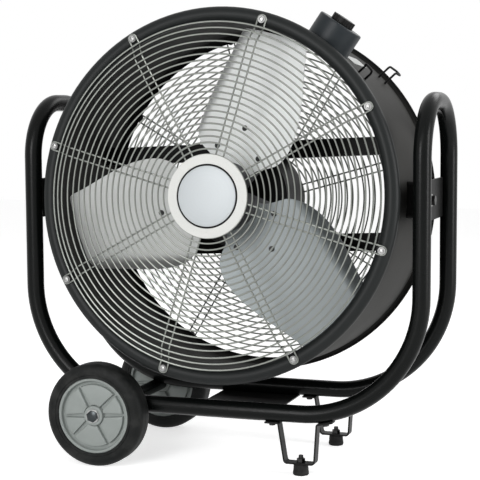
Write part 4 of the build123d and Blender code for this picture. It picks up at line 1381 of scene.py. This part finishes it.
def guards() -> Iterable[WireGuard]:
    """Works out the guards from the sizes of the wires and rims.

    Yields:
        The front guard, then the rear one.
    """
    wire, gap = 1.5 * MM, 0.05 * MM
    step = 2 * wire + gap
    clip, face_inset, pitch, count = 304.6 * MM, 47.2 * MM, 10.5 * MM, 18
    shoulder, shoulder_pitch, slope, overlap = clip - 13.1 * MM, 11.0 * MM, 7.0 / 11.0, 0.8 * MM
    face_depth, badge_radius = 165.0 * MM, 70.0 * MM
    front_edge, rear_edge = 143.4 * MM, 157.0 * MM
    front_rib, loop_depth = face_depth - step, front_edge + wire + gap
    rear_rib = -(rear_edge + wire + gap)
    rear_depth = rear_rib - step
    shoulder_end = shoulder + overlap
    shoulder_start = shoulder_end - (front_rib - loop_depth) / slope
    first_shoulder = loop_depth + overlap * slope + step * math.sqrt(1 + slope**2) + gap
    hub, inner, loop_end = badge_radius - 0.4 * MM, badge_radius - 12 * MM, clip + 7 * MM
    face = clip - face_inset
    yield WireGuard(
        name="front", wire=wire,
        ring_sets=((count, face, -pitch, face_depth, 0.0),
                   (3, shoulder, -shoulder_pitch, first_shoulder, shoulder_pitch * slope),
                   (1, hub, 0.0, face_depth, 0.0)),
        rib_route=((inner, front_rib), (shoulder_start, front_rib), (shoulder_end, loop_depth),
                   (loop_end, loop_depth)),
        rib_bends=(6 * MM, 6 * MM), first_angle=29.24, seat_depth=loop_depth + wire + gap, outward=1)
    yield WireGuard(
        name="rear", wire=wire,
        ring_sets=((count, face, -pitch, rear_depth, 0.0),
                   (3, shoulder, -shoulder_pitch, rear_depth, 0.0),
                   (1, hub, 0.0, rear_depth, 0.0)),
        rib_route=((inner, rear_rib), (loop_end, rear_rib)),
        rib_bends=(), first_angle=15.5, seat_depth=rear_rib - wire - gap, outward=-1)


def stand_for_fasteners() -> None:
    """Hides the plain CAD screws and washers that the detailed ones stand for."""
    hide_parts("guard_screws")
    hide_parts("guard_washers")


# ================================================================ studio
@dataclass
class Studio:
    """The pale floor, soft lamps, world and the camera at the photograph's view."""

    azimuth: float = 19.417
    elevation: float = 5.496
    roll: float = -0.325
    lens: float = 105.7515
    camera_at: Point = (0.82755, -2.35122, 0.62497)
    world_light: float = 0.35
    background: float = 1.0
    floor_glow: float = 0.64
    floor_reach: float = 6.0

    def camera(self) -> None:
        """Sets up the camera."""
        a, e, r = (math.radians(value) for value in (self.azimuth, self.elevation, self.roll))
        back = Vector((math.sin(a) * math.cos(e), -math.cos(a) * math.cos(e), math.sin(e)))
        right = Vector((math.cos(a), math.sin(a), 0))
        up = back.cross(right)
        data = bpy.data.cameras.new("camera")
        data.sensor_width, data.sensor_fit, data.lens = 36.0, "HORIZONTAL", self.lens
        data.clip_start, data.clip_end = 0.05, 50.0
        camera = put("camera", data)
        rows = (right * math.cos(r) + up * math.sin(r), up * math.cos(r) - right * math.sin(r), back)
        camera.matrix_world = Matrix.Translation(Vector(self.camera_at)) @ Matrix(rows).transposed().to_4x4()
        bpy.context.scene.camera = camera

    def lamp(self, name: str, place: Point, width: float, height: float, power: float) -> None:
        """Adds one soft area lamp aimed at the drum.

        Args:
            name: The lamp's name.
            place: Where it stands.
            width: Its width.
            height: Its height.
            power: Its power in watts.
        """
        data = bpy.data.lights.new(name, "AREA")
        data.shape = "RECTANGLE"
        data.size, data.size_y, data.energy = width, height, power
        aim = (Vector(place) - PIVOT).to_track_quat("Z", "Y").to_matrix().to_4x4()
        put(name, data).matrix_world = Matrix.Translation(place) @ aim

    def world(self) -> None:
        """A white surround for the eye and for reflections, and a plainer light for surfaces."""
        world = bpy.data.worlds.new("studio")
        bpy.context.scene.world = world
        world.use_nodes = True
        world.node_tree.nodes.clear()
        tree = NodeTree(world.node_tree)
        camera, through, mirrored = (tree.add("ShaderNodeLightPath", result=f"Is {ray} Ray")
                                     for ray in ("Camera", "Transmission", "Glossy"))
        dim, bright = (tree.add("ShaderNodeBackground", values={"Color": (1, 1, 1), "Strength": strength})
                       for strength in (self.world_light, self.background))
        seen = camera.larger(through).larger(mirrored)
        mix = tree.add("ShaderNodeMixShader", values={0: seen, 1: dim, 2: bright})
        tree.feed(tree.tree.nodes.new("ShaderNodeOutputWorld").inputs[0], mix)

    def floor(self) -> None:
        """A pale floor that keeps the shadow under the fan."""
        reach = self.floor_reach
        corners = [(-reach, -reach, 0), (reach, -reach, 0), (reach, reach, 0), (-reach, reach, 0)]
        mesh = plain_mesh("floor", corners, [(0, 1, 2, 3)])
        plane = put("floor", mesh)
        recipe = Recipe("mat_floor")
        camera, mirrored = (recipe.add("ShaderNodeLightPath", result=f"Is {ray} Ray") for ray in ("Camera", "Glossy"))
        glow = recipe.blend(camera.larger(mirrored), (0, 0, 0), (self.floor_glow,) * 3)
        recipe.surface(Base_Color=(0.86, 0.86, 0.86), Roughness=0.9, Specular_IOR_Level=0.1,
                       Emission_Color=glow, Emission_Strength=1.0)
        mesh.materials.append(recipe.material)

    def build(self) -> None:
        """Builds the studio and sets the view."""
        self.world()
        self.floor()
        self.lamp("key", (0.2, -2.7, 2.5), 1.6, 1.0, 8.0)
        self.lamp("front strip", (-0.45, -2.65, 1.1), 0.80, 1.5, 42.0)
        self.lamp("right strip", (2.6, -0.25, 1.0), 0.80, 1.9, 44.0)
        self.lamp("back", (0.9, 2.4, 2.2), 1.4, 1.0, 12.0)
        self.camera()
        bpy.context.scene.view_settings.view_transform = "Standard"


def main() -> None:
    """Builds the fan, then the studio."""
    logging.basicConfig(level=logging.INFO, format="%(name)s %(message)s")
    Cradle().dress()
    Wheel(Side.FRONT, Body.FRONT_WHEEL).dress()
    Wheel(Side.REAR, Body.REAR_WHEEL).dress()
    Drum().dress()
    for guard in guards():
        guard.dress()
    stand_for_fasteners()
    Rotor().dress()
    Studio().build()


if __name__ == "__main__":
    main()
